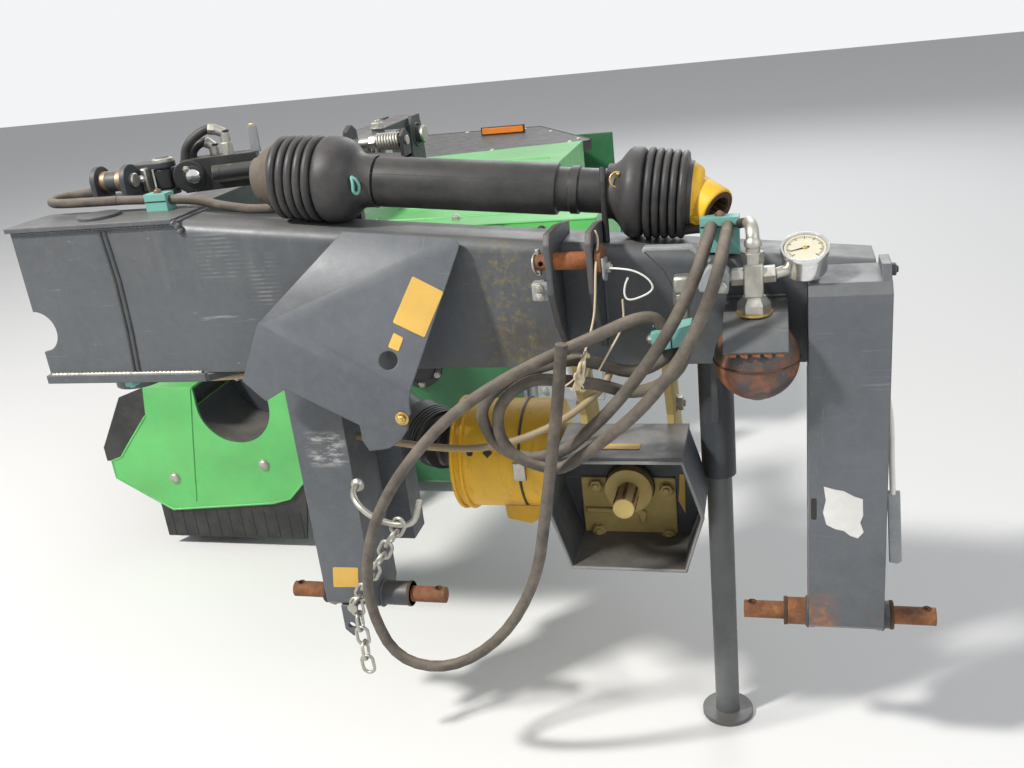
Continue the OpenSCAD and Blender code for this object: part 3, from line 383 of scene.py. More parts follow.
RUST = rusty("rusty_steel", (0.060, 0.026, 0.013), (0.42, 0.165, 0.060), grey=0.30)
RUST_DARK = rusty("rusty_dark", (0.024, 0.014, 0.009), (0.15, 0.070, 0.035), seed=9, grey=0.4)
ZINC = metal("galvanised", (0.50, 0.49, 0.44), 0.42, (0.20, 0.16, 0.11), 0.45, seed=5)
CHROME = metal("chrome", (0.78, 0.78, 0.78), 0.14, (0.35, 0.32, 0.28), 0.15, seed=6, grain=80)
BRASS = metal("brass", (0.62, 0.45, 0.16), 0.34, (0.20, 0.14, 0.07), 0.35, seed=7)
TEAL = polymer("teal_clip", (0.16, 0.42, 0.37), rough=0.45, dust=0.20, seed=81, spec=0.45)
TWINE = polymer("twine", (0.62, 0.52, 0.36), rough=0.85, dust=0.25, seed=83, spec=0.1, grain=900,
                grain_strength=0.5)
WHITE = polymer("white_plastic", (0.68, 0.68, 0.65), rough=0.5, dust=0.22, seed=85)
LABEL_YELLOW = polymer("label_yellow", (0.64, 0.40, 0.085), rough=0.5, dust=0.10, seed=87, spec=0.35)
# Dark ink for the gauge's print, and for the dark sheets in slits, the leg's slot and the drum's holes, where it
# is painted shade inside the openings.
INK_AND_SHADE = polymer("label_ink_and_painted_shade", (0.035, 0.030, 0.025), rough=0.5, dust=0.05, seed=88, spec=0.3)
LABEL_WHITE = polymer("label_white", (0.66, 0.66, 0.63), rough=0.55, dust=0.25, seed=89, spec=0.3)
ORANGE = polymer("orange_reflector", (0.80, 0.22, 0.01), rough=0.2, dust=0.10, seed=91, spec=0.6)
DUSTY_COVER = polymer("dusty_cover", (0.105, 0.088, 0.070), rough=0.66, dust=0.5, seed=95, spec=0.3,
                      dust_colour=(0.24, 0.205, 0.16))
ORANGE_RUST = rusty("orange_rust", (0.15, 0.052, 0.020), (0.56, 0.190, 0.055), seed=14, grey=0.05)
COPPER = rusty("copper_rust", (0.09, 0.035, 0.018), (0.36, 0.150, 0.080), metal=0.4, seed=17, grey=0.05)
STEEL_PAINT = painted("worn_lip", (0.20, 0.20, 0.19), wear=(0.40, 0.39, 0.36), rust=0.5, dust=0.3, scratch=0.4,
                      seed=19)
DIAL = polymer("dial_face", (0.72, 0.68, 0.52), rough=0.4, dust=0.12, seed=93)


def dress(node, material):
    o = NODES[node]
    o.data.materials.clear()
    o.data.materials.append(material)


# ---------------------------------------------------------------- shapes, in millimetres
def finish_mesh(name, bm, material, body, bevel=0.0, smooth=40):
    me = bpy.data.meshes.new(name)
    bmesh.ops.recalc_face_normals(bm, faces=bm.faces)
    bm.to_mesh(me)
    bm.free()
    o = link_object(name, me)
    me.materials.append(material)
    if bevel:
        b = o.modifiers.new("bevel", "BEVEL")
        b.width = bevel / 1000
        b.segments = 2
        b.limit_method = "ANGLE"
        b.angle_limit = math.radians(35)
    for p in me.polygons:
        p.use_smooth = True
    me.set_sharp_from_angle(angle=math.radians(smooth))
    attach(o, body)
    return o


def angles(count):
    return [2 * math.pi * k / count for k in range(count)]


def turned(u, w, a):
    return u * math.cos(a) + w * math.sin(a)


def polar(x, y, r, a):
    return x + r * math.cos(a), y + r * math.sin(a)


def basis(d):
    d = Vector(d).normalized()
    u = d.cross(Vector(UP))
    if u.length < 1e-3:
        u = d.cross(Vector(BACK))
    u.normalize()
    return d, u, d.cross(u)


def box(name, a, b, material, body="headstock", bevel=1.5):
    bm = bmesh.new()
    lo, hi = P(*a), P(*b)
    v = [bm.verts.new((x, y, z)) for x in (lo.x, hi.x) for y in (lo.y, hi.y) for z in (lo.z, hi.z)]
    for f in ((0, 1, 3, 2), (4, 6, 7, 5), (0, 4, 5, 1), (2, 3, 7, 6), (0, 2, 6, 4), (1, 5, 7, 3)):
        bm.faces.new([v[i] for i in f])
    return finish_mesh(name, bm, material, body, bevel)


def prism(name, ring, shift, material, body="headstock", bevel=1.0):
    """A closed ring of points pushed along a vector."""
    bm = bmesh.new()
    s = Vector(shift) / 1000
    a = [bm.verts.new(P(*p)) for p in ring]
    b = [bm.verts.new(P(*p) + s) for p in ring]
    bm.faces.new(a)
    bm.faces.new(b[::-1])
    n = len(ring)
    for i in range(n):
        bm.faces.new((a[i], b[i], b[(i + 1) % n], a[(i + 1) % n]))
    return finish_mesh(name, bm, material, body, bevel)


def lathe(name, origin, axis, profile, material, body="headstock", sides=48, smooth=32, bevel=0.0, capped=True):
    """profile: (distance along the axis, radius). Flat caps close its ends, unless it comes back to its start;
    without capped the far end stays open."""
    d, u, w = basis(axis)
    o = P(*origin)
    bm = bmesh.new()
    profile = list(profile)
    if profile[0] != profile[-1]:
        if profile[0][1]:
            profile.insert(0, (profile[0][0], 0))
        if profile[-1][1] and capped:
            profile.append((profile[-1][0], 0))
    rings = []
    for t, r in profile:
        c = o + d * t / 1000
        rings.append([bm.verts.new(c + turned(u, w, a) * r / 1000)
                      for a in angles(sides)] if r else [bm.verts.new(c)])
    for p, q in zip(rings, rings[1:]):
        for k in range(sides):
            m = (k + 1) % sides
            if len(p) == 1:
                bm.faces.new((p[0], q[k], q[m]))
            elif len(q) == 1:
                bm.faces.new((p[k], q[0], p[m]))
            else:
                bm.faces.new((p[k], q[k], q[m], p[m]))
    return finish_mesh(name, bm, material, body, bevel, smooth)


def rod(name, a, b, r, material, body="headstock", sides=24, chamfer=1.0):
    d = Vector(b) - Vector(a)
    n = d.length
    return lathe(name, a, d, [(0, r - chamfer), (chamfer, r), (n - chamfer, r), (n, r - chamfer)], material,
                 body, sides)


def hexrod(name, a, b, r, material, body="headstock"):
    d = Vector(b) - Vector(a)
    return lathe(name, a, d, [(0, r), (d.length, r)], material, body, 6, 20, 0.8)


def smooth_path(pts):
    """The path with its corners cut twice."""
    p = [Vector(q) for q in pts]
    for _ in range(2):
        q = [p[0]]
        for a, b in zip(p, p[1:]):
            q += [a * 0.75 + b * 0.25, a * 0.25 + b * 0.75]
        p = q + [p[-1]]
    return p


def sweep(name, pts, r, material, body="headstock", sides=12, closed=False, radii=None):
    """A tube along points."""
    p = [Vector(q) for q in pts]
    n = len(p)
    bm = bmesh.new()
    rings = []
    u = None
    for i in range(n):
        if closed:
            d = p[(i + 1) % n] - p[i - 1]
        else:
            d = p[min(i + 1, n - 1)] - p[max(i - 1, 0)]
        d.normalize()
        if u is None:
            u = basis(d)[1]
        u = (u - d * u.dot(d)).normalized()
        w = d.cross(u)
        here = radii[i] if radii else r
        rings.append([bm.verts.new(P(*(p[i] + turned(u, w, a) * here))) for a in angles(sides)])
    for i in range(n if closed else n - 1):
        a, b = rings[i], rings[(i + 1) % n]
        off = 0
        if closed and i == n - 1:
            off = min(range(sides), key=lambda s: (b[s].co - a[0].co).length)
        for k in range(sides):
            m = (k + 1) % sides
            bm.faces.new((a[k], a[m], b[(m + off) % sides], b[(k + off) % sides]))
    if not closed:
        bm.faces.new(rings[0][::-1])
        bm.faces.new(rings[-1])
    return finish_mesh(name, bm, material, body, smooth=50)


def bent(name, pts, r, material, body="headstock", sides=12, closed=False):
    return sweep(name, smooth_path(pts), r, material, body, sides, closed)


def ring(name, centre, normal, big, r, material, body="headstock", count=40, sides=10, squash=1.0):
    _, u, w = basis(normal)
    c = Vector(centre)
    pts = [c + (u * math.cos(a) + w * math.sin(a) * squash) * big for a in angles(count)]
    return sweep(name, pts, r, material, body, sides, closed=True)


def bolt(name, at, normal, size, material, body="headstock", washer=True, dome=False):
    """A bolt head standing on a surface; size is the thread's diameter."""
    d = Vector(normal).normalized()
    at = Vector(at)
    if washer:
        lathe(name + "_washer", at - d * 0.3, d, [(0, size * 1.05), (size * 0.16, size * 1.05)], material, body,
              24)
    base = at + d * size * 0.14
    if dome:
        lathe(name, base, d, [(0, size * 0.95)] + [(size * 0.5 * math.sin(t), size * 0.95 * math.cos(t))
                                                   for t in (0.3, 0.6, 0.9, 1.2)] + [(size * 0.5, 0)], material,
              body, 24)
    else:
        lathe(name, base, d, [(0, size * 0.92), (size * 0.58, size * 0.92), (size * 0.66, size * 0.78)],
              material, body, 6, 25)
        lathe(name + "_tip", base + d * size * 0.6, d, [(0, size * 0.48), (size * 0.28, size * 0.48),
                                                       (size * 0.34, size * 0.38)], material, body, 16)


def plate(name, ring, thick, material, body="headstock", bevel=0.6):
    """A thin plate on a ring of points, thickened against the ring's own normal."""
    a, b, c = Vector(ring[0]), Vector(ring[1]), Vector(ring[2])
    n = (b - a).cross(c - a).normalized()
    return prism(name, ring, n * thick, material, body, bevel)


def rounded(corners, radius):
    """A flat polygon's corners, each turned into four short steps of a curve."""
    out = []
    n = len(corners)
    for i in range(n):
        p, q, r = (Vector(corners[(i + k) % n]) for k in (-1, 0, 1))
        a = q + (p - q).normalized() * radius
        b = q + (r - q).normalized() * radius
        for t in (0, 0.25, 0.5, 0.75, 1):
            out.append(tuple(a * (1 - t) ** 2 + q * 2 * t * (1 - t) + b * t * t))
    return out


def bead(name, pts, r, material, body="headstock", wobble=0.6):
    """A weld bead: a tube whose radius ripples."""
    p = []
    for a, b in zip(pts, pts[1:]):
        a, b = Vector(a), Vector(b)
        n = max(2, int((b - a).length / 2.5))
        p += [a + (b - a) * k / n for k in range(n)]
    p.append(Vector(pts[-1]))
    radii = [r + wobble * math.sin(i * 1.9) + random.uniform(-0.2, 0.2) for i in range(len(p))]
    return sweep(name, p, r, material, body, 8, radii=radii)


def ribs(first, count, pitch, r0, r1):
    """A lathe profile of round ribs, 10 mm deep."""
    out = []
    for i in range(count):
        c = first + i * pitch
        r = r0 + (r1 - r0) * i / (count - 1)
        out += [(c - pitch * 0.46, r - 10), (c - pitch * 0.40, r - 3.2), (c - pitch * 0.24, r - 0.8), (c, r),
                (c + pitch * 0.24, r - 0.8), (c + pitch * 0.40, r - 3.2), (c + pitch * 0.46, r - 10)]
    return out


def at_x(x, points):
    return [(x, y, z) for y, z in points]


def at_y(y, points):
    return [(x, y, z) for x, z in points]


def at_z(z, points):
    return [(x, y, z) for x, y in points]


def upright(y, x0, x1, z0, z1):
    """An upright rectangle that faces the front."""
    return at_y(y, [(x0, z0), (x1, z0), (x1, z1), (x0, z1)])


# ---------------------------------------------------------------- cords
def cord(name, node, route, r):
    pts = smooth_path(route)
    o = sweep(name, pts, r, HOSE, sides=14)
    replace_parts(o, node)


LOOP = [[23, -128, 807], [10, -128, 722], [-4, -128, 649], [-26, -130, 536], [-50, -132, 423],
        [-116, -132, 312], [-215, -132, 244], [-306, -132, 258], [-338, -132, 353], [-330, -132, 445],
        [-302, -130, 522], [-257, -130, 593], [-189, -128, 669], [-123, -122, 721], [-45, -112, 763],
        [34, -98, 794], [75, -88, 808], [115, -74, 822], [146, -66, 824], [158, -66, 806]]
PAIR_L = [[222, 40, 922], [222, 4, 922], [219, -62, 918], [212, -92, 896], [185, -98, 839], [140, -99, 767],
          [77, -98, 691], [41, -97, 658]]
PAIR_R = [[246, 40, 922], [246, -6, 922], [244, -74, 918], [240, -108, 900], [219, -112, 841], [182, -112, 770],
          [122, -110, 695], [60, -106, 644]]
LINE_END = [[-743.5, 126, 1002], [-775, 126.5, 1003], [-805.7, 127, 1004]]
LINE = [[-702, 126, 1000], [-680, 126, 999], [-643, 122, 996], [-600, 120, 984], [-556, 118, 977]]
COIL_OUT = [[41, -97, 658], [5, -96, 626], [-54, -95, 612], [-98, -94, 632], [-117, -93, 672], [-115, -92, 698],
            [-94, -90, 724], [-60, -86, 744], [-10, -80, 760], [31, -74, 765], [67, -68, 753], [109, -64, 737],
            [148, -56, 748], [176, -42, 776], [181, -30, 796]]
COIL_IN = [[60, -106, 644], [4, -103, 601], [-24, -102, 602], [-73, -100, 620], [-92, -100, 654],
           [-90, -100, 694], [-69, -98, 722], [-35, -94, 742], [3, -88, 738], [43, -80, 730], [70, -74, 722],
           [104, -70, 708], [146, -66, 716], [184, -64, 748], [189, -66, 792]]
cord("loop_hose", "hose_loop", LOOP, 9)
cord("pair_hose_left", "hose_pair", PAIR_L, 9)
cord("pair_hose_right", "hose_pair", PAIR_R, 9)
cord("beam_hose", "hose_pair", LINE, 8)
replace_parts(bent("beam_hose_end", LINE_END, 8, HOSE, sides=16), "hose_pair")
cord("coil_hose_outer", "hose_coil", COIL_OUT, 9)
cord("coil_hose_inner", "hose_coil", COIL_IN, 9)

# ---------------------------------------------------------------- finishes of the CAD nodes
for names, material in (
    (("headstock_beam",), BEAM),
    (("left_leg", "right_leg"), LEG),
    (("top_link_bracket",), BRACKET),
    (("accumulator_bracket", "ram_anchor", "hinge_pin"), GREY),
    (("input_guard", "boom_arm", "stand_sleeve", "unit_frame", "inner_gearbox"), GREY2),
    (("stand_leg",), PIPE),
    (("guard_sheet",), GUARD),
    (("top_link_pin", "left_hitch_pin", "right_hitch_pin", "disc_1", "disc_2", "disc_3", "disc_4",
      "disc_5", "disc_6"), RUST),
    (("accumulator",), PATCHY),
    (("input_gearbox",), DUSTY_YELLOW),
    (("driveline_guard",), YELLOW),
    (("driveline_shaft", "stored_shaft_tube", "outer_cover", "shield_skirt"), PLASTIC),
    (("stored_shaft_bells", "front_curtain"), BELLOWS),
    (("stored_shaft_yokes",), YELLOW),
    (("cutterbar", "ram_barrel", "shaft_cradle"), BLACK),
    (("valve_block", "hook_rod", "safety_chain"), ZINC),
    (("ram_rod", "pressure_gauge"), CHROME),
    (("conditioner_rotor",), BLACK),
    (("drive_shield", "hood", "front_cover"), GREEN),
    # the end plates take the darker green of painted shade
    (("end_plates",), SHADED_GREEN),
    (("swath_board_inner", "swath_board_outer"), SILVER),
    (("hose_clips",), TEAL),
):
    for n in names:
        dress(n, material)

# ---------------------------------------------------------------- places on the beam, the ram and the shaft
# The beam's top is level up to the slope's start and then falls to the right; the stored shaft lies along it.
BEAM_TOP, SLOPE_START, SLOPE = 975, -645, 115 / 1095
LEAN = math.atan(SLOPE)
SHAFT_X, SHAFT_Y, SHAFT_LIFT = -426, 110, 69
EYE, ANCHOR, RAM_Z = Vector((-790, 262)), Vector((-410, 400)), 1018  # the ram's ends and height
RAM_DIR = (ANCHOR - EYE).normalized()
RAM_AXIS, RAM_FRONT = (RAM_DIR.x, RAM_DIR.y, 0), (RAM_DIR.y, -RAM_DIR.x, 0)


def beam_top(x):
    return BEAM_TOP if x < SLOPE_START else BEAM_TOP - SLOPE * (x - SLOPE_START)


def on_ram(s, across, z=0):
    """A point in the ram's own frame: along it, across it (to the back) and up."""
    return (EYE.x + RAM_DIR.x * s - RAM_DIR.y * across, EYE.y + RAM_DIR.y * s + RAM_DIR.x * across, RAM_Z + z)


def on_shaft(x, y=0, z=0):
    """A point in the stored shaft's own frame."""
    z0 = beam_top(SHAFT_X) + SHAFT_LIFT / math.cos(LEAN)
    return (SHAFT_X + x * math.cos(LEAN) + z * math.sin(LEAN), SHAFT_Y + y,
            z0 - x * math.sin(LEAN) + z * math.cos(LEAN))


SHAFT_DIR = (math.cos(LEAN), 0, -math.sin(LEAN))
SOCKET_DIR = Vector((0.74, -0.56, -0.37)).normalized()

# ---------------------------------------------------------------- beam
# The seam's two beads take the darker grey paint, which is partly painted shadow along the seam.
for i, dx in enumerate((-5, 5)):
    bead("beam_seam_%d" % i, at_y(42, [(-791 + dx, 967), (-785 + dx, 880), (-787 + dx, 790), (-793 + dx, 712)]),
         3.2, GREY2, wobble=0.25)
bead("plate_weld", at_y(40, [(-955, 973), (-800, 973), (-652, 973)]), 3.0, GREY2)
bead("plate_weld_end", [(-652, 38, 978), (-644, 40, 970), (-640, 41, 958)], 5.0, GREY, wobble=1.2)
bead("plate_weld_side", at_x(-649, [(44, 976), (90, 976), (146, 976)]), 3.5, GREY)
bead("flange_weld", at_y(40, [(-970, 711), (-800, 711), (-660, 711)]), 3.4, ZINC, wobble=0.9)
prism("flange_end", [(-652, 38, 694), (-596, 60, 700), (-600, 60, 709), (-652, 38, 709)], (0, 60, 0), BLACK,
      bevel=2)
bolt("flange_bolt", (-821, 60, 695), DOWN, 16, TEAL)
bent("underbeam_hose", [(-770, 92, 686), (-700, 84, 684), (-640, 78, 688), (-560, 76, 694), (-470, 74, 700)], 7,
     TAN)
for x in (-748, -622):
    ring("underbeam_strap_%d" % -x, (x, 84, 688), RIGHT, 9, 2, ZINC, count=20, sides=6)

# ---------------------------------------------------------------- boom, ram and their end of the beam
lathe("clevis_roller", (-884.5, 205, 1026), RIGHT,
      [(0, 18.6), (4, 19.5), (14, 19.5), (17, 15), (34, 15), (37, 19.5), (48, 19.5), (52.5, 18.6)],
      BRONZE, "boom", 32)
for x, d in ((-894, -1), (-822, 1)):
    lathe("clevis_pin_%d" % (d + 1), (x, 205, 1026), (d, 0, 0), [(0, 13), (5, 13), (7, 11)], ZINC, "boom", 28)
BOOM_LINE = [(-806, 127, 1004), (-840, 128, 1004), (-880, 130, 1004), (-950, 136, 1004), (-972, 165, 1006),
             (-950, 196, 1008), (-890, 202, 1010)]
bent("boom_hose", BOOM_LINE, 8.5, HOSE, "boom", 16)
box("clevis_casting", (-820, 226, 998), (-808, 250, 1042), ZINC, "boom", 3)
ball = [(8 - 8 * math.cos(t), 8 * math.sin(t)) for t in (0.4, 0.8, 1.2, 1.57, 2.0, 2.5)]
lathe("clevis_ball", (-819, 219, 1024), BACK, [(0, 0)] + ball + [(16, 0)], CHROME, "boom", 24)
lathe("ram_pin_head", (-790, 262, 1048), UP, [(0, 19), (5, 19), (7, 16)], ZINC, "boom", 32)
# Ram: round end plate with its chrome pin, ports, elbows and short hoses.
lathe("ram_face_plate", on_ram(48, -24.2), RAM_FRONT, [(0, 29.5), (2.5, 29.5), (3.5, 28.5)], BLACK,
      "barrel", 40)
lathe("ram_face_boss", on_ram(56, -27), RAM_FRONT, [(0, 19), (3.4, 19), (4, 17)], BLACK, "barrel", 32)
lathe("ram_face_pin", on_ram(56, -28), RAM_FRONT, [(0, 13), (5, 13), (6.5, 10.5)], CHROME, "barrel", 32)
bolt("ram_face_bolt", on_ram(46, -27.5, 14), RAM_FRONT, 7, ZINC, "barrel", washer=False)
for name, s0, across, top, way in (("a", 124, -11, 74, [(124, 68), (100, 81), (74, 72), (50, 52), (43, 27)]),
                                   ("b", 96, 10, 50, [(96, 44), (84, 56), (70, 53), (56, 42), (53, 27)])):
    hexrod("ram_port_%s" % name, on_ram(s0, across, 29), on_ram(s0, across, top - 22), 12, ZINC, "barrel")
    rod("ram_fitting_%s" % name, on_ram(s0, across, top - 23), on_ram(s0, across, top - 4), 9.6, ZINC, "barrel")
    path = smooth_path([on_ram(t, across, z) for t, z in way])
    cut = max(2, len(path) // 4)
    sweep("ram_elbow_%s" % name, path[:cut + 1], 9.3, ZINC, "barrel", 14)
    sweep("ram_hose_%s" % name, path[cut - 1:], 8.5, HOSE_BLACK, "barrel", 14)
    hexrod("ram_collar_%s" % name, path[cut - 1], path[cut + 1], 11, ZINC, "barrel")
lathe("ram_tube_mouth", on_ram(94.6, -38), RAM_AXIS, [(0, 12.2), (0, 16.3), (14, 16.3), (14, 12.2), (0, 12.2)],
      BLACK, "barrel", 36)
lathe("ram_gland", on_ram(330, 0), RAM_AXIS, [(0, 22), (14, 22), (16, 20)], BLACK, "barrel", 36)
box("ram_flag", on_ram(168, -3, 29), Vector(on_ram(168, -3, 29)) + Vector((10, 7, 50)), BRASS, "barrel", 1)
for name, across, ends, thick in (("ram_flag_face", -9, ((166, 28), (184, 28), (184, 76), (166, 76)), 3),
                                  ("ram_tab", 2, ((176, -44), (212, -44), (216, -4), (176, -4)), 5)):
    plate(name, [on_ram(s, across, z) for s, z in ends], thick, SILVER, "barrel")
# Anchor: spring and pin on the ears.
EAR_Y, EAR_Z = 212, 1058
coil = [(-338 + 0.5 * i, EAR_Y + 13 * math.cos(i * 0.62), EAR_Z + 13 * math.sin(i * 0.62)) for i in range(84)]
sweep("anchor_spring", coil, 2.2, ZINC, sides=8)
rod("anchor_spring_pin", (-384, EAR_Y, EAR_Z), (-284, EAR_Y, EAR_Z), 8, ZINC)
hexrod("anchor_spring_nut", (-352, EAR_Y, EAR_Z), (-340, EAR_Y, EAR_Z), 12, ZINC)
prism("anchor_latch_ear", at_x(-294, [(194, 1022), (232, 1022), (232, 1064), (214, 1078), (196, 1068)]),
      (6, 0, 0), BLACK, bevel=1)
prism("anchor_latch_plate", at_x(-392, [(188, 1044), (236, 1044), (232, 1080), (214, 1090), (194, 1082)]),
      (10, 0, 0), BLACK, bevel=1)
prism("anchor_latch_foot", [(-392, 190, 1040), (-288, 190, 1034), (-288, 232, 1034), (-392, 232, 1040)],
      (0, 0, -6), BLACK, bevel=1)
bolt("anchor_pin_head", (-410, 400, 1060), UP, 14, ZINC)

bent("beam_hose_tail", [(-557, 118, 977), (-530, 117.5, 975), (-500, 117, 975), (-455, 116, 978)], 8, HOSE,
     sides=16)

# ---------------------------------------------------------------- clips
# The dark sheets in the clips' slits are painted shade inside the gaps.
for name, (x, y, z), half in (("upper_right", (234, 40, 922), 27), ("left", (-723, 112, 1000), 20)):
    plate(name + "_clip_slit", upright(y - 0.3, x - half, x + half, z - 1, z + 1), 0.4, INK_AND_SHADE, bevel=0)
    bolt(name + "_clip_bolt", (x, y + 13, z + 13), UP, 7, BRONZE)
bolt("lower_clip_bolt", (141.6, -63, 790), LEFT, 8, ZINC)
# dark sheet in the lower clip's slit: painted shade inside the gap
plate("lower_clip_slit", at_y(-82.4, [(169, 780), (171, 780), (170, 808), (168, 808)]), 0.4, INK_AND_SHADE, bevel=0)

# ---------------------------------------------------------------- guard sheet over the left leg
PANEL_NORMAL = Vector((-14796, 52240, -27104))
PANEL_AXIS = PANEL_NORMAL.normalized()
SHEET = [(-350, 36, 947), (-154, 36, 926), (-434, -90, 836), (-230, -95, 715), (-507, -88, 743),
         (-471, -92, 710), (-433, -92, 730), (-316, -96, 670), (-315, -97, 644), (-272, -98, 631),
         (-235, -98, 680)]


def hole_cutter():
    """A bar through the panel, where its round hole is."""
    bm = bmesh.new()
    u = PANEL_AXIS.orthogonal().normalized()
    w = PANEL_AXIS.cross(u)
    a, b = ([bm.verts.new(P(-260, -76, 769) + PANEL_AXIS * t + turned(u, w, k) * 0.0145) for k in angles(32)]
            for t in (-0.05, 0.05))
    for k in range(32):
        m = (k + 1) % 32
        bm.faces.new((a[k], a[m], b[m], b[k]))
    bm.faces.new(a[::-1])
    bm.faces.new(b)
    bmesh.ops.recalc_face_normals(bm, faces=bm.faces)
    me = bpy.data.meshes.new("hole_cutter")
    bm.to_mesh(me)
    return link_object("hole_cutter", me)


def guard_sheet():
    bm = bmesh.new()
    v = [bm.verts.new(P(*q)) for q in SHEET]
    tip = [bm.verts.new(P(*q)) for q in ((-306, -97.5, 626), (-252, -98, 644), (-236, -98, 664),
                                         (-228, -98, 690))]
    for f in ([v[0], v[1], v[2]], [v[1], v[3], v[2]], [v[2], v[5], v[4]], [v[2], v[6], v[5]],
              [v[2], v[7], v[6]], [v[2], v[3], v[7]], [v[3], tip[3], v[10], v[7]],
              [v[7], v[10], tip[2], tip[1], v[9], v[8]]):
        bm.faces.new(f)
    bm.faces.new([v[8], v[9], tip[0]])
    folds = [e for e in bm.edges if set(e.verts) in ({v[1], v[2]}, {v[3], v[2]})]
    bmesh.ops.bevel(bm, geom=folds, offset=0.012, offset_type="OFFSET", segments=5, profile=0.5, affect="EDGES")
    o = finish_mesh("guard_panel", bm, GUARD, "headstock", smooth=50)
    sol = o.modifiers.new("thick", "SOLIDIFY")
    sol.thickness = 0.004
    sol.offset = 1 if o.data.polygons[0].normal.y > 0 else -1
    cutter = hole_cutter()
    bo = o.modifiers.new("hole", "BOOLEAN")
    bo.operation = "DIFFERENCE"
    bo.solver = "EXACT"
    bo.object = cutter
    dg = bpy.context.evaluated_depsgraph_get()
    done = bpy.data.meshes.new_from_object(o.evaluated_get(dg))
    o.modifiers.clear()
    o.data = done
    bpy.data.objects.remove(cutter)
    for q in done.polygons:
        q.use_smooth = True
    done.set_sharp_from_angle(angle=math.radians(40))
    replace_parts(o, "guard_sheet")


guard_sheet()


def on_panel(x, z):
    """A point just in front of the panel."""
    a, b, c = PANEL_NORMAL
    return tuple(Vector((x, -90 - (a * (x + 434) + c * (z - 836)) / b, z)) - PANEL_AXIS * 0.7)


for i, corners in enumerate((((-227, 881), (-180, 854), (-207, 794), (-255, 820)),
                             ((-253, 806), (-238, 797), (-245, 779), (-261, 787)))):
    prism("blank_sticker_%d" % i, rounded([on_panel(x, z) for x, z in corners], 3), PANEL_AXIS * 0.5,
          LABEL_YELLOW, bevel=0)
lathe("guard_screw_washer", (-243, -98, 682), FRONT, [(0, 11), (1.5, 11)], BRASS, sides=28)
bolt("guard_screw", (-243, -99.5, 682), FRONT, 8, BRASS, washer=False)

# ---------------------------------------------------------------- legs
PIN_Z = 300
bead("left_leg_weld", at_x(-463, [(-30, 779), (20, 784), (40, 788)]), 3, GREY)
prism("leg_sticker", rounded(at_y(-40.6, [(-441, 374), (-393, 375), (-399, 335), (-447, 333)]), 3), (0, 0.5, 0),
      LABEL_YELLOW, bevel=0)
TORN = [(376, 545), (392, 540), (404, 538), (419, 529), (431, 525), (432, 498), (428, 486), (433, 470),
        (425, 459), (414, 463), (405, 471), (392, 474), (380, 481), (375, 502), (379, 522)]
prism("torn_label", at_y(-40.5, TORN), (0, 0.4, 0), LABEL_WHITE, bevel=0)
# The slot is a dark sheet on the leg: painted shade inside the opening.
prism("leg_slot", rounded(upright(-40.3, 358, 366, 525, 489), 3), (0, 0.4, 0), INK_AND_SHADE, bevel=0)
bent("leg_rod", [(464, -18, 672), (469, -20, 640), (471, -21, 580), (474, -20, 524)], 4.2, WHITE, sides=10)
prism("leg_bar", at_y(-22, [(466, 528), (484, 528), (490, 410), (484, 406), (472, 408)]), (0, 6, 0), SILVER,
      bevel=1.2)
bolt("leg_bar_bolt", (465, -10, 500), RIGHT, 9, ZINC)
bolt("ear_bolt", (465, 14, 856), RIGHT, 10, GREY2)
for s in (-1, 1):
    for x, start in ((482.5, 476.5), (317, 317)):
        lathe("pin_collar_%d_%d" % (s + 1, x), (s * start, 0, PIN_Z), (s, 0, 0),
              [(0, 21.8), (1.2, 22.6), (5, 22.6), (6, 21.8)], RUST_DARK, sides=40)
for s, a, b in ((-1, 317, 372), (1, 317, 355), (-1, 465, 482.5), (1, 465, 482.5)):
    outside = a > 400
    lathe("pin_boss_%d_%d" % (s + 1, a), (s * a, 0, PIN_Z), (s, 0, 0), [(0, 21.4), (b - a, 21.4)],
          GREY2 if outside or s < 0 else RUST, sides=40)
    lathe("pin_weld_%d_%d" % (s + 1, a), (s * (a if outside else b), 0, PIN_Z), (s if outside else -s, 0, 0),
          [(0, 26), (2, 25.5), (5, 22)], GREY2, sides=40)
for s in (-1, 1):
    for x in (531.5, 268):
        ring("pin_hole_rim_%d_%d" % (s + 1, x), (s * x, 0, PIN_Z + 14), UP, 6, 0.9, RUST_DARK, count=24, sides=6)

# ---------------------------------------------------------------- stored drive shaft
LEFT_BELL = [(-50, 54)] + ribs(-40, 5, 15, 67, 70) + [
    (27, 60), (29, 64), (33, 67.6), (40, 69.2), (52, 69.4), (64, 68), (73, 64.5), (81, 58), (87, 51), (92, 46),
    (100, 42.5), (118, 41.2)]
RIGHT_BELL = [(-38, 41.2), (-28, 42), (-20, 48), (-14, 56), (-8, 64), (-2, 68), (6, 69.2), (14, 68), (18, 64),
              (20, 59)] + ribs(27, 5, 12.4, 69, 66) + [(84, 52), (90, 50)]
TUBE = [(0, 36), (4, 38), (60, 38), (61, 36.5), (63, 36.5), (64, 40), (352, 40), (356, 39), (358, 35),
        (360, 34), (376, 34), (378, 37), (390, 37), (392, 34), (440, 34)]
for name, start, profile, material, sides, smooth, node in (
        ("bell_left", 0, LEFT_BELL, BELLOWS, 72, 40, "stored_shaft_bells"),
        ("bell_right", 532, RIGHT_BELL, BELLOWS, 64, 40, "stored_shaft_bells"),
        ("shaft_guard_tube", 60, TUBE, PLASTIC, 64, 32, "stored_shaft_tube")):
    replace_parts(lathe(name, on_shaft(start), SHAFT_DIR, profile, material, sides=sides, smooth=smooth), node)
for t, r in ((119, 40.6), (500, 36)):
    ring("shaft_band_%d" % t, on_shaft(t), SHAFT_DIR, r, 1.6, BLACK, count=48, sides=8)
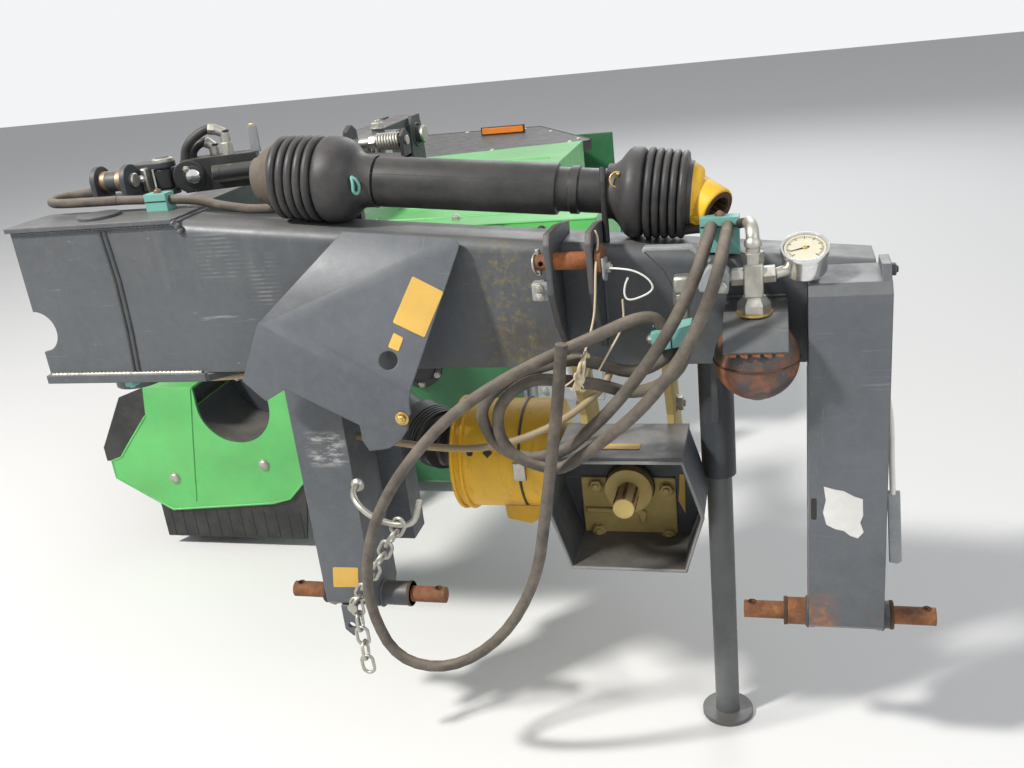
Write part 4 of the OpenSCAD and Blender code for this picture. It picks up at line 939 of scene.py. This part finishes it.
for name, at, axis, profile, material in (
        ("yoke_cover_left", on_shaft(-46), (-SHAFT_DIR[0], 0, -SHAFT_DIR[2] - 0.16),
         [(0, 55), (3, 56), (6, 55), (7, 52), (12, 52.5), (14, 49), (19, 49), (21, 45.5), (27, 44.5), (29, 41),
          (38, 38.5), (42, 37.5), (43, 34), (30, 30)], DUSTY_COVER),
        ("tractor_yoke_cap", on_shaft(618), SHAFT_DIR,
         [(0, 48), (2, 49), (5, 48.6), (16, 42), (19, 38), (20, 30)], YELLOW),
        ("tractor_yoke", on_shaft(622), SOCKET_DIR,
         [(0, 32), (4, 33.5), (46, 33), (50, 31.5), (51, 30), (51, 21.6), (49, 21), (14, 21)], YELLOW)):
    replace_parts(lathe(name, at, axis, profile, material, sides=56), "stored_shaft_yokes")
lathe("yoke_bore", on_shaft(622), SOCKET_DIR, [(15, 18.6), (49, 18.6), (51.5, 20.8), (51.5, 29.2), (51, 29.2)],
      RUST_DARK, sides=48, capped=False)
_, across, along = basis(SOCKET_DIR)
for k, a in enumerate(angles(12)):
    start = Vector(on_shaft(622)) + turned(across, along, a) * 17.2
    rod("yoke_tooth_%d" % k, start + SOCKET_DIR * 16, start + SOCKET_DIR * 47, 1.8, RUST_DARK, sides=8,
        chamfer=0.3)
lathe("yoke_button", on_shaft(633, -34, -25), (-0.35, -0.80, -0.45),
      [(0, 9), (9, 9), (10, 8), (10, 4), (7, 3.5)], YELLOW, sides=28)
ring("shaft_linch_ring", on_shaft(512, -40, 26), (0.4, -1, 0.2), 11, 1.5, BRASS, count=28)
rod("shaft_linch_pin", on_shaft(512, -33, 20), on_shaft(514, -44, 37), 3, BRASS)
CLIP = [(94, -50, 16), (98, -54, 6), (97, -53, -8), (103, -48, -12), (106, -46, 2), (101, -49, 12)]
bent("shaft_clip", [on_shaft(*q) for q in CLIP], 2.6, TEAL, sides=8, closed=True)
sweep("tube_seam", [on_shaft(x, -39.6 * math.cos(0.5), 39.6 * math.sin(0.5)) for x in range(92, 412, 20)], 0.7,
      PLASTIC, sides=6)

# ---------------------------------------------------------------- top-link bracket
ring("top_pin_linch", (-28, -12, 893), (1, -0.25, 0.1), 15, 1.8, ZINC, count=32)
rod("top_pin_linch_peg", (-26, -12, 875), (-26, -12, 915), 4, ZINC)
bead("bracket_weld_l", [(-13, 43, 744), (-13, 43, 900)], 3.5, GREY)
bead("bracket_weld_r", [(61, 43, 744), (61, 43, 896)], 3.5, GREY)
lathe("top_pin_body", (-2, -12, 895), RIGHT, [(0, 12.9), (20, 12.8), (22, 13.1), (52, 12.9)], ORANGE_RUST,
      sides=40)
box("mast_block", (-38, -24, 838), (-11.5, -2, 866), SILVER, bevel=3)
for z in (846, 859):
    bolt("mast_block_bolt_%d" % z, (-26, -24, z), FRONT, 7, ZINC)
prism("flag_plate", at_x(70.5, [(-34, 902), (2, 896), (6, 872), (-12, 862), (-32, 870)]), (4, 0, 0), SILVER,
      bevel=1.5)
bolt("flag_bolt", (74.5, -14, 884), RIGHT, 9, ZINC)
WIRE = [(75, -20, 884), (96, -40, 888), (118, -42, 885), (137, -44, 874), (145, -44, 861), (140, -44, 852),
        (119, -44, 843), (106, -44, 842), (102, -42, 851), (104, -40, 864), (109, -40, 874)]
bent("white_wire", WIRE, 1.5, WHITE, sides=8)
bent("white_string_plate", [(61, -10, 938), (66, -14, 925), (64, -30, 905), (62, -38, 880), (60, -40, 850),
                            (56, -44, 815), (46, -66, 780), (42, -86, 768)], 1.7, TWINE, sides=8)
bent("string_two", [(99, -40, 842), (99, -40, 807), (93, -60, 795), (74, -72, 766), (63, -84, 748)], 1.5, TWINE,
     sides=8)
for i, (c, n, r) in enumerate((((41, -82, 762), (1, 0.1, -0.4), 13), ((45, -83, 757), (1, -0.2, -0.2), 14),
                               ((38, -86, 748), (1, 0.3, -0.3), 20), ((43, -85, 746), (0.9, -0.3, -0.1), 21))):
    ring("twine_turn_%d" % i, c, n, r, 2.3, TWINE, count=28, sides=8, squash=1.25)
for i in range(9):
    a = random.uniform(-0.8, 0.8)
    bent("twine_end_%d" % i, [(38, -100, 752), (34 + 8 * a, -104, 742), (28 + 22 * a, -102, 726 + 6 * abs(a))],
         1.2, TWINE, sides=6)
lathe("twine_knot", (36, -98, 754), (0.3, -0.5, -1),
      [(0, 0), (1, 5), (5, 8), (9, 7), (13, 8.2), (18, 5), (20, 0)], TWINE, sides=14)

# ---------------------------------------------------------------- hydraulic fittings and gauge
FIT_X, FIT_Y = 282, -29
lathe("accumulator_nut", (FIT_X, FIT_Y, 812), UP, [(0, 22), (3, 23.5), (15, 23.5), (18, 22), (24, 17), (26, 17)],
      ZINC, sides=6, smooth=20, bevel=0.8)
lathe("accumulator_washer", (FIT_X, FIT_Y, 812.5), UP, [(0, 26), (3, 26)], BRASS, sides=40)
box("tee_body", (268.5, FIT_Y - 14, 837), (295.5, FIT_Y + 14, 886), ZINC, bevel=3)
hexrod("tee_neck", (FIT_X, FIT_Y, 885), (FIT_X, FIT_Y, 901), 15.5, ZINC)
lathe("up_elbow", (FIT_X, FIT_Y, 900), UP, [(0, 10), (8, 10), (9, 12), (14, 12), (18, 10.5), (22, 7), (23, 0)],
      ZINC, sides=32)
bent("up_elbow_bend", [(FIT_X, FIT_Y, 908), (FIT_X, FIT_Y + 2, 926), (280, -10, 933), (276, 14, 932)], 9.2, ZINC,
     sides=16)
bent("over_beam_pipe", [(277, 10, 932), (270, 34, 928), (250, 60, 918), (222, 70, 914), (186, 76, 912),
                        (160, 84, 905)], 7.2, HOSE_BLACK, sides=14)
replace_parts(hexrod("right_nut", (295, FIT_Y, 868), (312, FIT_Y, 869), 12.5, ZINC), "valve_block")
rod("gauge_stem", (310, FIT_Y, 868), (332, -20, 871), 8, ZINC)
hexrod("left_nut_a", (252, FIT_Y, 866), (268.5, FIT_Y, 866), 13, ZINC)
rod("left_neck", (249, FIT_Y, 866), (253, FIT_Y, 866), 9, ZINC)
prism("shutoff_body", at_y(FIT_Y - 18, [(208, 850), (248, 846), (250, 874), (240, 884), (222, 888), (208, 868)]),
      (0, 36, 0), SILVER, bevel=2.5)
bolt("shutoff_plug", (238, FIT_Y - 18, 858), FRONT, 10, ZINC, washer=False)
hexrod("shutoff_nut", (196, FIT_Y, 862), (209, FIT_Y, 862), 12.5, ZINC)
box("side_elbow", (171, FIT_Y - 12, 846), (197, FIT_Y + 12, 872), ZINC, bevel=5)
hexrod("side_elbow_nut", (183, FIT_Y, 846), (183, FIT_Y, 828), 13.5, ZINC)
rod("side_ferrule", (183, FIT_Y, 830), (182, -30, 797), 9.8, ZINC)
hexrod("lever_spindle", (214, FIT_Y, 886), (214, FIT_Y, 898), 9, ZINC)
LEVER = [(132, 907), (136, 910), (196, 909), (206, 902), (222, 889), (226, 893), (208, 909), (198, 915),
         (134, 916), (130, 912)]
prism("shutoff_lever", at_y(FIT_Y - 8, LEVER), (0, 15, 0), SILVER, bevel=1)
sweep("lever_wire", [(133, FIT_Y - 2, 908), (160, FIT_Y - 6, 880), (176, FIT_Y - 8, 846)], 0.7, RUST_DARK,
      sides=6)
box("valve_foot", (214, FIT_Y + 18, 850), (242, 42, 880), GREY, bevel=1)
GAUGE, TILT = Vector((351, -10, 880)), math.radians(24)
DIAL_X, DIAL_OUT = Vector(RIGHT), Vector((0, -math.sin(TILT), math.cos(TILT)))
DIAL_Y = DIAL_OUT.cross(DIAL_X)


def on_dial(angle, r, w, lift):
    """A point above the dial: r out along the angle and w across it."""
    a = math.radians(angle)
    return GAUGE + DIAL_OUT * lift + turned(DIAL_X, DIAL_Y, a) * r + turned(DIAL_Y, -DIAL_X, a) * w


CASE = [(-14, 27), (-12, 30.5), (16, 30.8), (17, 32.8), (22, 33.4), (25, 32.6), (25, 29.5), (21.5, 28.6)]
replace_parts(lathe("gauge_case", GAUGE, DIAL_OUT, CASE, CHROME, sides=64), "pressure_gauge")
lathe("gauge_dial", GAUGE + DIAL_OUT * 21.6, DIAL_OUT, [(0, 28.4), (0.6, 28.4)], DIAL, sides=48)
prism("gauge_foot", at_x(356, [(-13, 850), (3, 850), (3, 874), (-13, 874)]), (14, 0, 0), ZINC)
for k in range(41):
    big = k % 5 == 0
    half, inner = 0.35 + 0.3 * big, 22 - 2.5 * big
    prism("gauge_tick_%02d" % k, [on_dial(225 - 270 * k / 40, r, w, 22.3) for r, w in (
        (25.5, -half), (25.5, half), (inner, half), (inner, -half))], DIAL_OUT * 0.2, INK_AND_SHADE, bevel=0)
prism("gauge_needle", [on_dial(200, r, w, 22.6) for r, w in ((-6, -1.6), (-6, 1.6), (21, 0.5), (21, -0.5))],
      DIAL_OUT * 0.5, INK_AND_SHADE, bevel=0)
lathe("gauge_boss", GAUGE + DIAL_OUT * 22.4, DIAL_OUT, [(0, 3.4), (1.6, 3)], BRASS, sides=24)

# ---------------------------------------------------------------- accumulator and its bracket
ring("accumulator_seam", (284, -30, 745), UP, 60.2, 1.8, RUST_DARK, count=72, sides=8)
lathe("accumulator_cap", (284, -30, 690), DOWN, [(-4, 20), (2, 19), (6, 12)], RUST_DARK, sides=36)
for i, x in enumerate((252, 268, 284, 300, 316)):
    tooth = [(x - 7, -91.5, 777), (x + 7, -91.5, 777), (x + 5.5, -92.5, 768 - 2 * (i % 2)), (x - 4, -92.5, 769)]
    prism("bracket_tooth_%d" % i, tooth, (0, 3, 1), RUST, bevel=0.5)
bead("bracket_edge_weld", [(240, 38, 816), (328, 38, 816)], 3, GREY)

# ---------------------------------------------------------------- input side
sweep("guard_lip", at_y(-30, [(-28, 576), (170, 576), (198, 482), (168, 385), (-17, 385), (-44, 482)]), 3.0,
      STEEL_PAINT, sides=8, closed=True)
prism("guard_yellow_strip", rounded(at_z(584.5, [(34, 0), (103, 0), (103, 20), (34, 20)]), 3), (0, 0, 0.5),
      LABEL_YELLOW, bevel=0)
box("gear_flange", (-14, 84, 366), (146, 88.5, 492), DUSTY_YELLOW, bevel=2)
for x, z in ((12, 478), (131, 472), (12, 392), (131, 386)):
    bolt("gear_flange_bolt_%d_%d" % (x, z), (x, 84.5, z), FRONT, 13, DUSTY_YELLOW)
prism("gear_flange_rib", at_y(84.5, [(-8, 436), (88, 434), (96, 428), (92, 408), (84, 406), (82, 424),
                                     (-8, 426)]), (0, -6, 0), DUSTY_YELLOW, bevel=2)
INPUT_X, INPUT_Z = 70, 478
lathe("input_seal", (INPUT_X, 84, INPUT_Z), FRONT, [(0, 42), (3, 42), (8, 38), (12, 30), (12, 24), (4, 22)],
      RUST_DARK, sides=48)
lathe("input_stub_end", (INPUT_X, 0.4, INPUT_Z), FRONT, [(-60, 16.6), (-3, 16.6), (0, 14), (0.2, 5), (-2, 0)],
      COPPER, sides=40)
for k in range(6):
    a = (k + 0.5) * math.pi / 3
    x, z = polar(INPUT_X, INPUT_Z, 16.2, a)
    rod("stub_spline_%d" % k, (x, 1, z), (x, 58, z), 3.2, COPPER, sides=10, chamfer=0.8)
prism("yellow_tag", at_y(86, [(153, 499), (162, 499), (160, 424), (149, 448)]), (0, 1.5, 0), LABEL_YELLOW,
      bevel=0.3)
lathe("white_knob", (0, 20, 681), (0, -0.4, 1), [(0, 4), (60, 4), (62, 8), (70, 9), (76, 7), (78, 0)], WHITE,
      sides=24)
for i, (x, z, side) in enumerate(((-8.2, 600, LEFT), (148.2, 600, RIGHT), (-8.2, 520, LEFT),
                                  (148.2, 520, RIGHT))):
    bolt("hanger_bolt_%d" % i, (x, 150, z), side, 14, ZINC)

# Pale hose that runs low behind the coil, from the leg to the beam's underside.
bent("pale_hose", [(-380, 4, 606), (-291, -10, 599), (-223, -10, 590), (-153, -14, 591), (-89, 0, 600),
                   (-23, 10, 626), (25, 30, 656), (50, 50, 676), (60, 76, 712)], 6, TAN)

# ---------------------------------------------------------------- driveline guard and shaft
DRUM_Y, DRUM_Z, HOLE_TURN = 180, 493, 0.42
for x in (-245, -229):
    ring("drum_rim_%d" % -x, (x + 3, DRUM_Y, DRUM_Z), RIGHT, 101, 3.4, YELLOW, count=72)
out, up = math.cos(HOLE_TURN), math.sin(HOLE_TURN)
# The drum's holes are thin dark sheets on its face: painted shade inside the openings.
for i, (x, r, sides) in enumerate(((-208, 6, 24), (-176, 9, 4))):
    lathe("drum_hole_%d" % i, (x, DRUM_Y - 98.2 * out, DRUM_Z + 98.2 * up), (0, -out, up), [(0, r), (0.7, r)],
          INK_AND_SHADE, sides=sides)
ring("drum_strap", (-120, DRUM_Y, DRUM_Z), RIGHT, 99.2, 2.4, BLACK, count=72, sides=6)
box("drum_latch", (-130, 76, 486), (-108, 82, 520), ZINC, bevel=1.5)
prism("drum_flap", [(-160, 104, 424), (-96, 104, 424), (-100, 98, 398), (-112, 96, 392), (-156, 98, 400)],
      (0, 3, 0), YELLOW, bevel=1)
TURN, JOINT, FAR_END = Vector((-130, DRUM_Y, DRUM_Z)), Vector((-300, 204, 508)), Vector((-560, 430, 560))
boot = [(6 + 20 * k + t, r) for k in range(8) for t, r in ((0, 42), (6, 49), (12, 50), (17, 43))]
lathe("driveline_boot", (-150, 183, 495), JOINT - TURN, [(0, 40)] + boot + [((JOINT - TURN).length - 8, 44)],
      BELLOWS, sides=56)
cone = [(8 + 9 * k + t, r - k) for k in range(5) for t, r in ((0, 52), (2, 58), (6, 58), (8, 52))]
lathe("driveline_cone", (-290, 196, 506), FAR_END - JOINT, [(0, 50)] + cone + [(56, 48), (64, 42), (66, 0)],
      BELLOWS, sides=56)

# ---------------------------------------------------------------- hook and chain
HOOK = [(-364, -40, 538), (-364, -68, 538), (-346, -95, 530), (-322, -101, 511), (-290, -101, 497.7),
        (-250, -101, 497.7), (-236, -98, 540)]
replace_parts(bent("chain_hook", HOOK, 5.2, ZINC, sides=14), "hook_rod")
lathe("hook_eye", (-364, -41, 538), FRONT, [(0, 11), (3, 12), (7, 10), (9, 7)], ZINC, sides=28)


def chain_link(bm, centre, along, turn):
    """A long link of round wire; every other link is turned by a quarter."""
    d, u, w = basis(along)
    side, up = (u, w) if turn else (w, u)
    path = [Vector(centre) + d * (11 * math.cos(t) + math.copysign(7, math.cos(t))) + side * (11 * math.sin(t))
            for t in angles(20)]
    rings = []
    for i, q in enumerate(path):
        t = (path[(i + 1) % 20] - path[i - 1]).normalized()
        n = t.cross(up).normalized()
        rings.append([bm.verts.new(P(*(q + turned(n, up, a) * 3.0))) for a in angles(8)])
    for a, b in zip(rings, rings[1:] + rings[:1]):
        for k in range(8):
            bm.faces.new((a[k], a[(k + 1) % 8], b[(k + 1) % 8], b[k]))


def chain():
    bm = bmesh.new()
    hook_at, peg = Vector((-276, -101, 497.7)), Vector((-400, -64, 315))
    d = (peg - hook_at).normalized()
    for i in range(8):
        chain_link(bm, hook_at + d * (5.8 + 30 * i), d, i % 2)
    for i in range(5):
        chain_link(bm, (-400, -57, 306 - 30 * i), DOWN, (i + 1) % 2)
    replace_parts(finish_mesh("safety_chain_links", bm, ZINC, "headstock", smooth=60), "safety_chain")


chain()
lathe("chain_peg_head", (-400, -73, 315), FRONT, [(0, 9), (3, 9), (4, 7)], ZINC, sides=24)

# ---------------------------------------------------------------- shield, gearbox and hood
for x, z in ((-933, 245), (-1196, 205)):
    bolt("shield_bolt_%d_%d" % (-x, z), (x, 610, z), FRONT, 14, ZINC, "boom", dome=True)
PAN_X, PAN_Z = -985, 405
ARC = [math.pi + math.pi * k / 24 for k in range(25)]


def pan_arc(r, turns):
    return [polar(PAN_X, PAN_Z, r, t) for t in turns]


prism("pan_liner", at_y(613, pan_arc(99.6, ARC) + pan_arc(97.4, ARC[::-1])), (0, 181, 0), GREY2, "boom", 0)
prism("pan_back", at_y(792, pan_arc(97.5, ARC)), (0, 2, 0), GREY2, "boom", 0)
SHIELD = [(-1236, 380), (-1311, 296), (-1340, 262), (-1371, 252), (-1371, 203), (-1224, 112), (-930, 136),
          (-880, 150), (-819, 212), (-800, 300)]
sweep("shield_lip", at_y(611, SHIELD), 3.2, GREEN, "boom", 8)
sweep("shield_fold", at_y(610, [(-1090, 452), (-1120, 300), (-1150, 140)]), 2.6, GREEN, "boom", 8)
# The skirt's slits are thin dark strips: painted shade inside the cuts.
for x in range(-1240, -860, 34):
    prism("skirt_slit_%d" % -x, upright(615.4, x, x + 2, 34, 112), (0, 0.4, 0), INK_AND_SHADE, "boom", 0)
for y in (1010, 1330):
    for x in (-1120, -700, -480):
        bolt("hood_bolt_%d_%d" % (-x, y), (x, y, 750), UP, 11, ZINC, "boom")
for x in (-980, -560, -240):
    bolt("hood_face_bolt_%d" % -x, (x, 930, 728), FRONT, 11, BLACK, "boom")
for x in (-742, -648):
    prism("hood_tab_%d" % -x, at_y(926, [(x, 694), (x + 26, 694), (x + 26, 716), (x + 13, 722), (x, 716)]),
          (0, -5, 0), ZINC, "boom", 1)
sweep("hood_rim", [(-1150, 931, 750), (-105, 931, 750)], 3, GREEN, "boom", 8)
sweep("hood_rim_side", at_z(750, [(-106, 931), (-106, 1300), (-369, 1490)]), 3, GREEN, "boom", 8)
for i, (x0, x1, y) in enumerate(((-1120, -920, 1040), (-700, -160, 1040), (-700, -160, 1180),
                                 (-1120, -420, 1420), (-1120, -420, 1900))):
    sweep("hood_bead_%d" % i, [(x0, y, 749), (x1, y, 749)], 4.5, GREEN, "boom", 10)

# ---------------------------------------------------------------- mowing unit
BAR_X, DISC_Z, UNIT_X, UNIT_Y0, UNIT_Y1 = -1130, 98.5, -1370, 930, 2700
ROTOR_X, ROTOR_Z = -600, 390
TOWER_X, TOWER_Y, TOWER_Z = -830, 1630, 895
GEARBOX_X, GEARBOX_Z = -985, 600
# Curtain: clamping strip, lapped panels and hem.
box("curtain_strip", (UNIT_X - 9, UNIT_Y0, 664), (UNIT_X - 5.2, UNIT_Y1 - 6, 696), ZINC, "front_guard", 1)
for i in range(10):
    bolt("curtain_bolt_%d" % i, (UNIT_X - 9, UNIT_Y0 + 60 + 183 * i, 680), LEFT, 8, ZINC, "front_guard")
for i in range(7):
    y = UNIT_Y0 + 4 + 252 * i
    panel = [(UNIT_X - out, y + dy, z) for out, dy, z in (
        (5, 0, 134), (8, 2, 134), (7, 70, 132), (10, 150, 134), (7, 246, 136), (5, 250, 136))]
    prism("curtain_panel_%d" % i, panel, (0, 0, 528), RUBBER, "front_guard", 0.8)
    box("curtain_lap_%d" % i, (UNIT_X - 11, y - 4, 133), (UNIT_X - 5, y + 5, 664), RUBBER, "front_guard", 1)
box("curtain_hem", (UNIT_X - 12, UNIT_Y0, 130), (UNIT_X - 4.6, UNIT_Y1 - 5, 150), RUBBER, "front_guard", 2)
# Front cover: pressed beads and rolled edge.
for i, x in enumerate((-1340, -1200)):
    sweep("cover_bead_%d" % i, [(x, UNIT_Y0 + 20, 722), (x, UNIT_Y1 - 26, 722)], 3.5, GREEN, "front_guard", 8)
sweep("cover_edge", [(UNIT_X + 1, UNIT_Y0, 721), (UNIT_X + 1, UNIT_Y1 - 5, 721)], 4, GREEN, "front_guard", 10)
for i, y in enumerate((1000, 1800, 2600)):
    for d in (-26, 26):
        bolt("cover_hinge_bolt_%d_%d" % (i, d + 26), (-1196, y + d, 722), UP, 9, ZINC, "front_guard", dome=True)
# End plates: rolled edges, rotor bearings and their bolts; the plates, edges and rib take the darker green of
# painted shade.
EDGE = [(-1178, 180), (-950, 180), (-944, 88), (-1020, 88), (-1020, 45), (-420, 45), (-330, 300)]
for name, y, top, d in (("inner", 916, [(-330, 746), (-1178, 746)], -1),
                        ("outer", 2708, [(-330, 710), (-1152, 710)], 1)):
    sweep("end_edge_" + name, at_y(y, EDGE + top), 3, SHADED_GREEN, "boom", 8, closed=True)
    lathe("rotor_bearing_" + name, (ROTOR_X, y, ROTOR_Z), (0, d, 0),
          [(-6, 62), (5, 62), (7, 60), (7, 46), (16, 44), (22, 38), (24, 30)], BLACK, "boom", 48)
    for k in range(6):
        t = math.pi * (k + 0.5) / 3
        x, z = polar(ROTOR_X, ROTOR_Z, 53, t)
        bolt("rotor_bolt_%s_%d" % (name, k), (x, y + 7 * d, z), (0, d, 0), 9, ZINC, "boom")
    for x, z in ((-1140, 230), (-860, 120), (-460, 90), (-380, 320), (-1120, 660), (-700, 690), (-380, 640)):
        bolt("end_bolt_%s_%d_%d" % (name, -x, z), (x, y, z), (0, d, 0), 10, ZINC, "boom")
prism("end_rib", at_y(2708, [(-1120, 300), (-1100, 300), (-760, 560), (-772, 574)]), (0, 5, 0), SHADED_GREEN,
      "boom", 2)
# Outer cover: edge and fixings.
OUTER = [(-1150, 2118), (-1002, 2118), (-368, 2254), (-345, 2300), (-640, 2790), (-1000, 2800), (-1370, 2800)]
sweep("outer_cover_edge", at_z(745, OUTER), 3.2, PLASTIC, "boom", 8)
for i, (x, y) in enumerate(((-1120, 2140), (-980, 2144), (-700, 2204), (-420, 2264), (-400, 2330), (-560, 2600),
                            (-700, 2740), (-960, 2770), (-1200, 2776), (-1330, 2776))):
    bolt("outer_cover_bolt_%d" % i, (x, y, 746), UP, 9, ZINC, "boom", dome=True)
# Cutterbar fixings, disc caps and knife bolts.
for i in range(6):
    y = 850 + 350 * i
    turn = math.radians(35 + 60 * (i % 3))
    body = "disc_body_%d" % (i + 1)
    cap = 150 if i in (0, 5) else 28
    hexrod("disc_nut_%d" % i, (BAR_X, y, DISC_Z + 46 + cap), (BAR_X, y, DISC_Z + 58 + cap), 18, ZINC, body)
    for k in range(6):
        t = turn + k * math.pi / 3
        at = (*polar(BAR_X, y, 82, t), DISC_Z + 29)
        bolt("disc_cap_bolt_%d_%d" % (i, k), at, UP, 7, RUST_DARK, body, washer=False)
    for d in (0, math.pi):
        at = (*polar(BAR_X, y, 114, turn + d), DISC_Z + 17)
        lathe("knife_bolt_%d_%d" % (i, round(d)), at, UP, [(-14, 13), (0, 13), (5, 10), (6, 0)], RUST_DARK, body,
              24)
    if i < 5:
        for x in (-1225, -1060):
            bolt("bar_bolt_%d_%d" % (i, -x), (x, y + 175, 90), UP, 13, ZINC, "boom")
        for x in (-1200, -1085):
            bolt("bar_plug_%d_%d" % (i, -x), (x, y + 120, 90), UP, 9, RUST_DARK, "boom", washer=False)
# Unit's frame, tower and its pin.
for d in (-1, 1):
    lathe("tower_pin_cap_%d" % (d + 1), (TOWER_X + 76 * d, TOWER_Y, TOWER_Z), (d, 0, 0),
          [(-3, 27), (4, 27), (6, 24)], ZINC, "boom", 36)
    ring("tower_weld_%d" % (d + 1), (TOWER_X + 54.5 * d, TOWER_Y, TOWER_Z), RIGHT, 34, 3, GREY2, "boom", 40, 8)
    for y in (1575, 1685):
        foot = [(TOWER_X + 56 * d, y - 20, 712), (TOWER_X + 56 * d, y + 20, 712)]
        bead("tower_foot_weld_%d_%d" % (d + 1, y), foot, 4, GREY2, "boom")
for z in (842, 948):
    bead("arm_weld_%d" % z, at_x(-873, [(240, z), (700, z), (1200, z), (1600, z)]), 2.6, GREY2, "boom", 0.2)
for y in (1180, 1300, 1960, 2080):
    for x in (-868, -792):
        bolt("frame_bolt_%d_%d" % (y, -x), (x, y, 710), UP, 12, ZINC, "boom")
# Inner gearbox: cover, seal and bolts.
lathe("inner_seal", (GEARBOX_X, 820, GEARBOX_Z), FRONT, [(0, 62), (6, 62), (10, 56), (10, 45)], BLACK, "boom",
      48, capped=False)
for k in range(6):
    t = math.pi * k / 3
    x, z = polar(GEARBOX_X, GEARBOX_Z, 56, t)
    bolt("inner_seal_bolt_%d" % k, (x, 812, z), FRONT, 8, ZINC, "boom")
for x, z in ((-1050, 470), (-912, 470), (-1050, 690), (-912, 690)):
    bolt("inner_box_bolt_%d_%d" % (-x, z), (x, 820, z), FRONT, 11, ZINC, "boom")
for y in (650, 700, 760, 840):
    bolt("drive_case_bolt_%d" % y, (-1140, y, 446), UP, 10, ZINC, "boom")
# Swath boards: stiffener, hinge washers and bolts.
for name, y, sgn, body in (("inner", 950, 1, "inner_board"), ("outer", 2680, -1, "outer_board")):
    box("board_rib_" + name, (-290, y - 5.5, 398), (-136, y + 5.5, 412), ZINC, body, 1.5)
    for z in (300, 405, 510):
        bolt("board_bolt_%s_%d" % (name, z), (-278, y + 3 * -sgn, z), (0, -sgn, 0), 9, ZINC, body)
    for z in (270, 540):
        lathe("board_washer_%s_%d" % (name, z), (-312, y, z - 2), UP,
              [(0, 8.4), (0, 17), (3, 17), (3, 8.4), (0, 8.4)], RUST_DARK, body, 32)
# Reflector that stands on the dark cover.
box("reflector_back", (-862, 2646, 745), (-676, 2650, 778), BLACK, "boom", 1)
prism("reflector", rounded(upright(2646, -856, -682, 750, 774), 5), (0, -5, 0), ORANGE, "boom", 1)

# ---------------------------------------------------------------- stage and light
def stage():
    m, nt, bsdf = nodes_of("floor")
    feed(nt, bsdf.inputs["Base Color"], (0.72, 0.72, 0.71))
    bsdf.inputs["Roughness"].default_value = 0.9
    me = bpy.data.meshes.new("floor")
    s = 14
    me.from_pydata([(-s, -s, 0), (s, -s, 0), (s, s, 0), (-s, s, 0)], [], [(0, 1, 2, 3)])
    me.materials.append(m)
    floor = link_object("floor", me)
    world = bpy.data.worlds.new("world")
    bpy.context.scene.world = world
    world.use_nodes = True
    nt = world.node_tree
    lit, seen = nt.nodes["Background"], nt.nodes.new("ShaderNodeBackground")
    for sky, colour, strength in ((lit, (0.93, 0.95, 1.0), 0.38), (seen, (0.90, 0.91, 0.92), 1.0)):
        feed(nt, sky.inputs["Color"], colour)
        sky.inputs["Strength"].default_value = strength
    ray = nt.nodes.new("ShaderNodeLightPath").outputs
    mirrored = maths(nt, "MAXIMUM", ray["Is Glossy Ray"], ray["Is Transmission Ray"])
    both = nt.nodes.new("ShaderNodeMixShader")
    for i, value in enumerate((maths(nt, "MAXIMUM", ray["Is Camera Ray"], mirrored), lit.outputs[0],
                               seen.outputs[0])):
        nt.links.new(value, both.inputs[i])
    nt.links.new(both.outputs[0], nt.nodes["World Output"].inputs[0])
    warm, cool = (1.0, 0.97, 0.93), (0.95, 0.97, 1.0)
    for name, at, target, power, size, colour in (
            ("key", (-2.6, -3.6, 4.8), (0.2, -1.1, 0.6), 400, 0.5, warm),
            ("fill", (3.6, -3.4, 2.4), (0.3, -0.9, 0.5), 55, 2.5, cool),
            ("back", (0.5, 4.5, 4.0), (0, 0, 0.5), 110, 3.0, cool)):
        light = bpy.data.lights.new(name, "AREA")
        light.energy = power
        light.size = size
        light.color = colour
        o = link_object(name, light)
        o.location = at
        o.rotation_euler = (Vector(target) - Vector(at)).to_track_quat("-Z", "Y").to_euler()


stage()
bpy.context.scene.view_settings.view_transform = "Standard"
